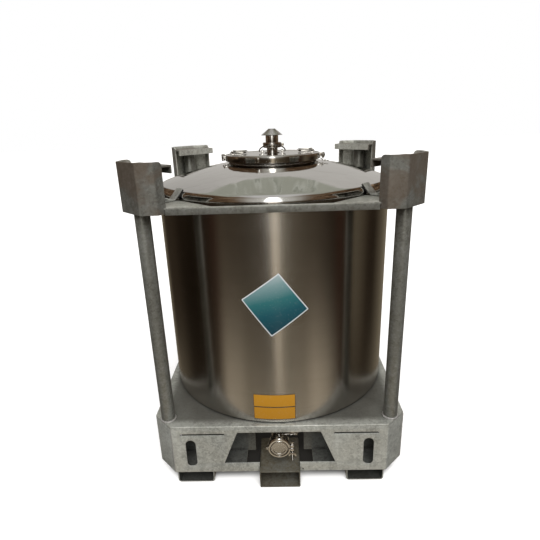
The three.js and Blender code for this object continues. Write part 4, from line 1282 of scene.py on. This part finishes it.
def valve():
    """Butterfly valve: bolted body with its ferrule, disc on a stem, and the lever."""
    f = -STEM_Y
    work = bmesh.new()
    add_turned(work, rounded([
        (BORE_R, f - 0.0157), (0.042, f - 0.0157), (0.044, f - 0.0137), (0.044, f - 0.001, 0.0006),
        (0.0433, f, 0.0004),
        (0.044, f + 0.001, 0.0006), (0.044, f + 0.013), (0.042, f + 0.015), (PIPE_R, f + 0.015, 0.003),
        (PIPE_R, f + 0.024, 0.002), (FERRULE_BIG, f + 0.0265), (FERRULE_BIG, f + 0.0295),
        (BORE_R, f + 0.0295),
        (BORE_R, f + 0.008), (0.0353, f + 0.008), (0.0353, f - 0.008), (BORE_R, f - 0.008),
    ], 0.0006, 3), 96, forward)
    add_turned(work, rounded([
        (0.0075, OUTLET_Z + 0.038), (0.013, OUTLET_Z + 0.038), (0.013, OUTLET_Z + 0.045),
        (0.0075, OUTLET_Z + 0.045),
    ], 0.0008, 3), 40, lambda x, y, z: (x, y + STEM_Y, z))
    for k in range(4):
        a = QUARTER * (k + 0.5)
        centre = (0.0385 * math.cos(a), -(f + 0.0150), OUTLET_Z + 0.0385 * math.sin(a))
        add_bolt(work, centre, (0, -1, 0), across=0.008, height=0.004, washer=0.0052)
    piece = as_piece("valve_body", work, CHROME, 35)
    settle(piece, "frame_and_tank", "polished_stainless", "outlet_valve_body")

    work = bmesh.new()
    disc = [(0, f - 0.0028), (0.012, f - 0.0028), (0.030, f - 0.0012), (0.0316, f), (0.030, f + 0.0012),
            (0.012, f + 0.0028), (0, f + 0.0028)]
    add_turned(work, disc, 80, forward)
    low, high = OUTLET_Z - 0.028, OUTLET_Z + 0.055
    add_turned(work, [(0, low), (0.0062, low), (0.0068, low + 0.0006), (0.0068, high - 0.001), (0.0058, high),
                      (0, high)],
               32, lambda x, y, z: (x, y + STEM_Y, z))
    settle(as_piece("valve_disc", work, BRUSHED_SMALL), "outlet_valve", "polished_stainless", "outlet_disc")

    z0 = OUTLET_Z + 0.046
    work = bmesh.new()
    hub = arc(0, 0, 0.014, 40, 320, 30)
    blade = [*hub, (0.030, -0.0085), (0.058, -0.0085), (0.066, -0.011), (0.080, -0.011),
             *arc(0.077, 0, 0.011, -70, 70, 12),
             (0.080, 0.011), (0.066, 0.011), (0.058, 0.0085), (0.030, 0.0085)]
    bore = circle(0, 0, 0.0071, 32)
    eye = circle(0.074, 0, 0.0045, 24)
    add_slab(work, blade, z0, z0 + 0.005, [bore, eye], edge=0.0012,
             place=lambda x, y, z: (x, y + STEM_Y, z + 0.004 * min(max((x - 0.030) / 0.028, 0), 1) * 0.75))
    boss = rounded([(0.0071, z0), (0.0118, z0), (0.0112, z0 + 0.0075), (0.0071, z0 + 0.0075)], 0.0008, 3)
    add_turned(work, boss, 40, lambda x, y, z: (x, y + STEM_Y, z))
    settle(as_piece("valve_lever", work, CHROME, 35), "outlet_valve", "polished_stainless", "outlet_lever")


def cap():
    """Blind cap, its gasket and the split clamp that holds them to the ferrule."""
    f = -STEM_Y
    face = f + 0.0317
    r = FERRULE_BIG
    work = bmesh.new()
    add_turned(work, rounded([
        (0, face, 0), (r, face, 0.0006), (r, face + 0.003, 0.001), (0.040, face + 0.005, 0.002),
        (0.037, face + 0.008, 0.002), (0.030, face + 0.008, 0.002), (0.0275, face + 0.0068, 0.003),
        (0, face + 0.0064, 0),
    ], 0, 5), 96, forward)
    settle(as_piece("blind_cap", work, BRUSHED_SMALL), "outlet_cap", "polished_stainless", "outlet_cap")

    g = f + 0.0298
    work = bmesh.new()
    add_turned(work, rounded([(0.033, g), (0.045, g), (0.045, g + 0.0016), (0.033, g + 0.0016)], 0.0004, 2),
               96, forward)
    settle(as_piece("cap_seal", work, RUBBER), "outlet_cap", "rubber", "outlet_gasket")

    bolt_x, bolt_y = 0.058, -0.560
    work = bmesh.new()
    ring = rounded([
        (0.0462, f + 0.022), (0.052, f + 0.022, 0.002), (0.052, f + 0.036, 0.002), (0.049, f + 0.040, 0.0015),
        (0.0415, f + 0.040), (0.0415, f + 0.0372), (0.0462, f + 0.0355),
    ], 0.0005, 4)
    add_turned(work, ring, 110, forward, math.radians(3.6), math.radians(352.8))
    y0, y1 = -f - 0.038, -f - 0.024
    for low, high in ((-0.016, -0.003), (0.003, 0.016)):
        outline = rounded([(0.0505, y0), (0.066, y0, 0.0045), (0.066, y1, 0.0045), (0.0505, y1)], 0.0005)
        add_slab(work, outline, OUTLET_Z + low, OUTLET_Z + high, [circle(bolt_x, bolt_y, 0.0041, 20)],
                 edge=0.001)
    hinge = rounded([(0.002, y0), (0.006, y0), (0.006, y1), (0.002, y1)], 0.0008, 3)
    add_turned(work, hinge, 28, lambda x, y, z: (x - 0.055, z, OUTLET_Z + y))
    low, high = OUTLET_Z - 0.072, OUTLET_Z + 0.022
    bolt = [(0, low), (0.0036, low), *thread(0.004, low + 0.0005, OUTLET_Z - 0.020),
            (0.004, OUTLET_Z - 0.0195),
            (0.004, high - 0.006), (0.0065, high - 0.0055), (0.0070, high - 0.001), (0.0060, high), (0, high)]
    add_turned(work, bolt, 24, lambda x, y, z: (x + bolt_x, y + bolt_y, z))
    settle(as_piece("cap_clamp", work, CHROME, 35), "outlet_cap", "polished_stainless", "outlet_clamp")

    top = OUTLET_Z - 0.027
    work = bmesh.new()
    nut = rounded([(0.0045, top - 0.013), (0.0076, top - 0.013), (0.008, top), (0.0045, top)], 0.0009, 3)
    add_turned(work, nut, 32, lambda x, y, z: (x + bolt_x, y + bolt_y, z))
    for side in (-1, 1):
        ear = rounded([(side * 0.0055, top - 0.012), (side * 0.015, top - 0.026), (side * 0.018, top - 0.022),
                       (side * 0.0165, top - 0.009), (side * 0.0055, top - 0.001)], 0.002)
        add_slab(work, ear, bolt_y - 0.002, bolt_y + 0.002, edge=0.0013,
                 place=lambda a, b, c: (bolt_x + a, c, b))
    settle(as_piece("cap_wing_nut", work, CHROME, 35), "outlet_nut", "polished_stainless", "outlet_clamp_nut")


pipe()
valve()
cap()


# ---------- labels ----------
def label(name, corners, lift, thick, material, corner_r=0.004):
    """A thin sheet on the tank's wall; corners are (distance round the wall, height)."""
    work = bmesh.new()
    add_slab(work, rounded(corners, corner_r, 4), 0, thick, edge=min(thick * 0.3, 0.0001), arcs=1)
    low = min(x for x, _ in corners)
    high = max(x for x, _ in corners)
    for k in range(1, 24):
        geom = work.verts[:] + work.edges[:] + work.faces[:]
        bmesh.ops.bisect_plane(work, geom=geom, plane_co=(low + (high - low) * k / 24, 0, 0),
                               plane_no=(1, 0, 0), dist=1e-6)
    for vert in work.verts:
        turn = vert.co.x / TANK_R
        r = TANK_R + lift + vert.co.z
        vert.co = (r * math.sin(turn), -r * math.cos(turn), vert.co.y)
    settle(as_piece(name, work, material, 30), "frame_and_tank", "label_film")


def labels():
    """A blue-green fade on a square set on its corner, and two amber panels, all without lettering. Their
    shapes, places and colours follow the real labels."""
    centre, tilt, width, height = (0.0, 0.872), math.radians(36.5), 0.192, 0.200
    ahead = Vector((math.cos(tilt), math.sin(tilt)))
    up = Vector((-ahead.y, ahead.x))

    def square(border):
        w, h = width / 2 - border, height / 2 - border
        return [tuple(Vector(centre) + ahead * (sx * w) + up * (sy * h))
                for sx, sy in ((-1, -1), (1, -1), (1, 1), (-1, 1))]

    along = (up.x, 0.0, up.y)
    middle = centre[1] * up.y + centre[0] * up.x
    white = [(0.0, (0.62, 0.66, 0.68, 1)), (1.0, (0.72, 0.74, 0.76, 1))]
    teal = [(0.0, (0.004, 0.040, 0.060, 1)), (0.30, (0.010, 0.080, 0.105, 1)),
            (0.52, (0.030, 0.150, 0.160, 1)),
            (0.76, (0.20, 0.32, 0.33, 1)), (1.0, (0.50, 0.57, 0.59, 1))]
    label("label_square_film", square(0), 0.0001, 0.0003, printed("film_white", white, along, middle, 0.1))
    label("label_square_print", square(0.0045), 0.0004, 0.0001,
          printed("film_teal", teal, (-0.25, 0, 0.97), centre[1] - 0.14, 0.26), 0.002)
    amber = [(0.0, (0.42, 0.19, 0.012, 1)), (1.0, (0.50, 0.24, 0.02, 1))]
    dark = [(0.0, (0.05, 0.035, 0.02, 1)), (1.0, (0.07, 0.045, 0.025, 1))]
    amber_film = printed("film_amber", amber, (0, 0, 1), 0.325, 0.13)
    dark_film = printed("film_dark", dark, (0, 0, 1), 0.325, 0.13)
    left, right = -0.108, 0.076
    for name, low, high in (("lower", 0.3265, 0.3895), ("upper", 0.3905, 0.4535)):
        def panel(border, l=low, h=high):
            return [(left + border, l + border), (right - border, l + border),
                    (right - border, h - border), (left + border, h - border)]
        label(f"label_panel_{name}", panel(0), 0.0001, 0.0003, dark_film, 0.002)
        label(f"label_panel_{name}_print", panel(0.0022), 0.0004, 0.0001, amber_film, 0.001)


labels()


# ---------- finish on the CAD nodes that stay ----------
FINISH = {
    "galvanised": ZINC_BEAM, "galvanised_dark": ZINC_DARK, "brushed_stainless": BRUSHED,
    "polished_stainless": CHROME, "rubber": RUBBER,
}


def finish_nodes():
    slots = {row["node"]: row["material_slot"] for row in frame["record"]["subparts"]}
    for name, node in nodes.items():
        if node.hide_render:
            continue
        node.data.materials.clear()
        node.data.materials.append(FINISH[slots[name]])
        soften = node.modifiers.new("soft_edges", "BEVEL")
        soften.width = EDGE
        soften.segments = 2
        soften.limit_method = "ANGLE"
        soften.angle_limit = math.radians(40)


finish_nodes()


# ---------- surroundings ----------
def floor():
    """A pale floor, not a plain one: a painted shadow, a dark shape, lies on it under the base. It glows
    slightly, and reflections and bounced light don't see it."""
    size = 30
    mesh = bpy.data.meshes.new("floor")
    mesh.from_pydata([(-size, -size, 0), (size, -size, 0), (size, size, 0), (-size, size, 0)], [],
                     [(0, 1, 2, 3)])
    material, graph, shader, at = principled("floor_paint", 0.0)
    tone = graph.noise(at, 0.8, 3)
    pale = graph.ramp(tone, [(0.2, grey(0.92)), (0.8, grey(0.95))])
    # the painted shadow under the base: without these seven lines the floor is plain
    parts = graph.node("ShaderNodeSeparateXYZ")
    graph.put(parts.inputs[0], at)
    sides = [graph.math("ABSOLUTE", parts.outputs[k]) for k in (0, 1)]
    cut = graph.math("SUBTRACT", graph.math("ADD", *sides), INNER)
    far = graph.math("MAXIMUM", graph.math("MAXIMUM", *sides), cut)
    under = graph.span(far, BASE_HALF - 0.02, BASE_HALF - 0.08)
    pale = graph.mix(under, pale, grey(0.03, 0.05))
    graph.put(shader.inputs["Base Color"], pale)
    graph.put(shader.inputs["Emission Color"], pale)
    shader.inputs["Emission Strength"].default_value = 0.16
    shader.inputs["Roughness"].default_value = 0.9
    mesh.materials.append(material)
    ground = bpy.data.objects.new("floor", mesh)
    scene.collection.objects.link(ground)
    ground.visible_glossy = False
    ground.visible_diffuse = False


def sun():
    """Broad light from above and in front, which reflections don't see."""
    data = bpy.data.lights.new("sun", "SUN")
    data.energy = 3.3
    data.angle = math.radians(45)
    data.color = (1, 0.995, 0.98)
    light = bpy.data.objects.new("sun", data)
    light.rotation_euler = Vector((-0.10, 0.80, -0.95)).to_track_quat("-Z", "Y").to_euler()
    light.visible_glossy = False
    scene.collection.objects.link(light)


def warm(level, red=0.0):
    """A lamp-lit grey: the dimmer, the redder."""
    tint = 0.18 + 0.35 * math.exp(-level / 0.04) + red
    return (level * (1 + tint), level, level * (0.76 - 0.14 * math.exp(-level / 0.15)), 1)


def bearing(degrees):
    """A compass bearing from the front, positive to the right, as a share of the way round from the back."""
    return degrees / 360 + 0.5


def bearings(graph, share, stops):
    return graph.ramp(share, [(bearing(degrees), colour) for degrees, colour in stops])


def room():
    """Three surroundings, not plain studio light: white for the camera, a made-up dim warm workshop for
    reflections, and for every other ray a soft fill that is brighter at the sides."""
    world = bpy.data.worlds.new("room")
    scene.world = world
    world.use_nodes = True
    world.cycles.sampling_method = "NONE"
    graph = Graph(world.node_tree)
    way = graph.node("ShaderNodeTexCoord").outputs["Generated"]
    parts = graph.node("ShaderNodeSeparateXYZ")
    graph.put(parts.inputs[0], way)
    x, y, z = parts.outputs
    azimuth = graph.math("ARCTAN2", x, graph.math("MULTIPLY", y, -1.0))
    share = graph.math("ADD", graph.math("DIVIDE", azimuth, math.tau), 0.5)

    walls = bearings(graph, share, [
        (-180, warm(0.28)), (-150, warm(0.12)), (-138, warm(0.022)), (-120, warm(0.020)), (-104, warm(0.006)),
        (-90, warm(0.004)), (-80, warm(0.011)), (-66, warm(0.011, 0.3)), (-60, warm(0.013, 0.7)),
        (-51, warm(0.036)), (-44, warm(0.022)), (-28, warm(0.022)), (-14, warm(0.028)), (-5, warm(0.055)),
        (0, warm(0.46)), (3, warm(0.40)), (7, warm(0.12)), (17, warm(0.060)), (32, warm(0.030)),
        (50, warm(0.016)),
        (58, warm(0.013)), (66, warm(0.012, 1.0)), (73, warm(0.020)), (86, warm(0.085)), (95, warm(0.055)),
        (105, warm(0.016)), (116, warm(0.012)), (130, warm(0.07)), (142, warm(0.12)), (180, warm(0.28)),
    ])
    ground = bearings(graph, share, [
        (-180, warm(0.28)), (-126, warm(0.10)), (-105, warm(0.02)), (-80, warm(0.02)), (-66, warm(0.06)),
        (-56, warm(0.42)), (-42, warm(0.36)), (-30, warm(0.19)), (-16, warm(0.10)), (-6, warm(0.10)),
        (2, warm(0.20)), (12, warm(0.14)), (28, warm(0.24)), (40, warm(0.46)), (52, warm(0.40)),
        (72, warm(0.02)), (108, warm(0.02)),
        (130, warm(0.12)), (180, warm(0.28)),
    ])
    slats = graph.noise(graph.place(way, (22, 0.8, 0.8)), 1.0, 2, 0.5)
    ceiling = graph.ramp(slats, [
        (0.30, (0.25, 0.26, 0.215, 1)), (0.36, (0.36, 0.365, 0.31, 1)), (0.52, (0.33, 0.335, 0.28, 1)),
        (0.58, (0.46, 0.465, 0.41, 1)), (0.60, (0.24, 0.25, 0.205, 1)), (0.64, (0.36, 0.365, 0.31, 1)),
    ])
    plaster = bearings(graph, graph.math("FRACT", graph.math("ADD", share, 0.5)), [
        (-90, (0.20, 0.18, 0.16, 1)), (-30, (0.52, 0.50, 0.47, 1)), (10, (0.53, 0.51, 0.48, 1)),
        (26, (0.42, 0.405, 0.38, 1)), (50, (0.34, 0.325, 0.30, 1)), (95, (0.22, 0.195, 0.17, 1)),
    ])
    lamps = bearings(graph, share, [
        (-58, warm(0.12, 0.2)), (-36, (0.32, 0.30, 0.26, 1)), (-9, (0.60, 0.59, 0.55, 1)),
        (-4, (4.5, 4.45, 4.3, 1)), (4, (4.5, 4.45, 4.3, 1)), (9, (0.60, 0.59, 0.55, 1)),
        (36, (0.32, 0.30, 0.26, 1)), (58, warm(0.12, 0.2)),
    ])
    streaks = graph.ramp(graph.noise(graph.place(way, (2.5, 2.5, 13)), 1.0, 3, 0.6), [
        (0.36, (0.030, 0.019, 0.012, 1)), (0.50, (0.13, 0.080, 0.045, 1)), (0.58, (0.05, 0.03, 0.018, 1)),
        (0.66, (0.36, 0.25, 0.16, 1)),
    ])
    sideways = graph.math("ABSOLUTE", x)
    overhead = graph.mix(graph.span(sideways, 0.28, 0.62), lamps, streaks)
    toward = graph.span(y, -0.1, 0.1)
    front = graph.mix(graph.span(z, -0.06, 0.30), walls, overhead)
    eaves = graph.math("SUBTRACT", z, graph.math("MULTIPLY", graph.math("MULTIPLY", x, x), 0.6))
    back = graph.mix(graph.span(eaves, 0.545, 0.565), plaster, ceiling)
    back = graph.mix(graph.span(sideways, 0.40, 0.50), back, streaks)
    level = graph.mix(graph.span(z, -0.62, -0.38), ground, walls)
    low = graph.math("MULTIPLY", graph.span(z, -0.62, -0.72), graph.span(sideways, 0.45, 0.28))
    level = graph.mix(low, level, warm(0.50))
    colour = graph.mix(graph.span(z, -0.10, 0.04), level, graph.mix(toward, front, back))
    zenith = graph.math("MULTIPLY", graph.span(z, 0.90, 0.96), graph.span(sideways, 0.45, 0.15))
    colour = graph.mix(zenith, colour, grey(0.56, 0.02))
    path = graph.node("ShaderNodeLightPath")
    seen = graph.node("ShaderNodeBackground")
    graph.put(seen.inputs["Color"], (1, 1, 1, 1))
    reflected = graph.node("ShaderNodeBackground")
    graph.put(reflected.inputs["Color"], colour)
    soft = graph.node("ShaderNodeBackground")
    fill = graph.mix(graph.span(z, 0.0, 0.45), grey(0.04, 0.05), grey(0.42, 0.02))
    edgewise = graph.math("MULTIPLY", graph.span(sideways, 0.55, 0.85), graph.span(z, -0.15, 0.10))
    graph.put(soft.inputs["Color"], graph.mix(edgewise, fill, grey(0.95, 0.01)))
    matte = graph.node("ShaderNodeMixShader")
    graph.put(matte.inputs[0], path.outputs["Is Glossy Ray"])
    graph.put(matte.inputs[1], soft.outputs[0])
    graph.put(matte.inputs[2], reflected.outputs[0])
    chosen = graph.node("ShaderNodeMixShader")
    graph.put(chosen.inputs[0], path.outputs["Is Camera Ray"])
    graph.put(chosen.inputs[1], matte.outputs[0])
    graph.put(chosen.inputs[2], seen.outputs[0])
    output = graph.node("ShaderNodeOutputWorld")
    graph.put(output.inputs["Surface"], chosen.outputs[0])


floor()
room()
sun()
scene.view_settings.view_transform = "Standard"
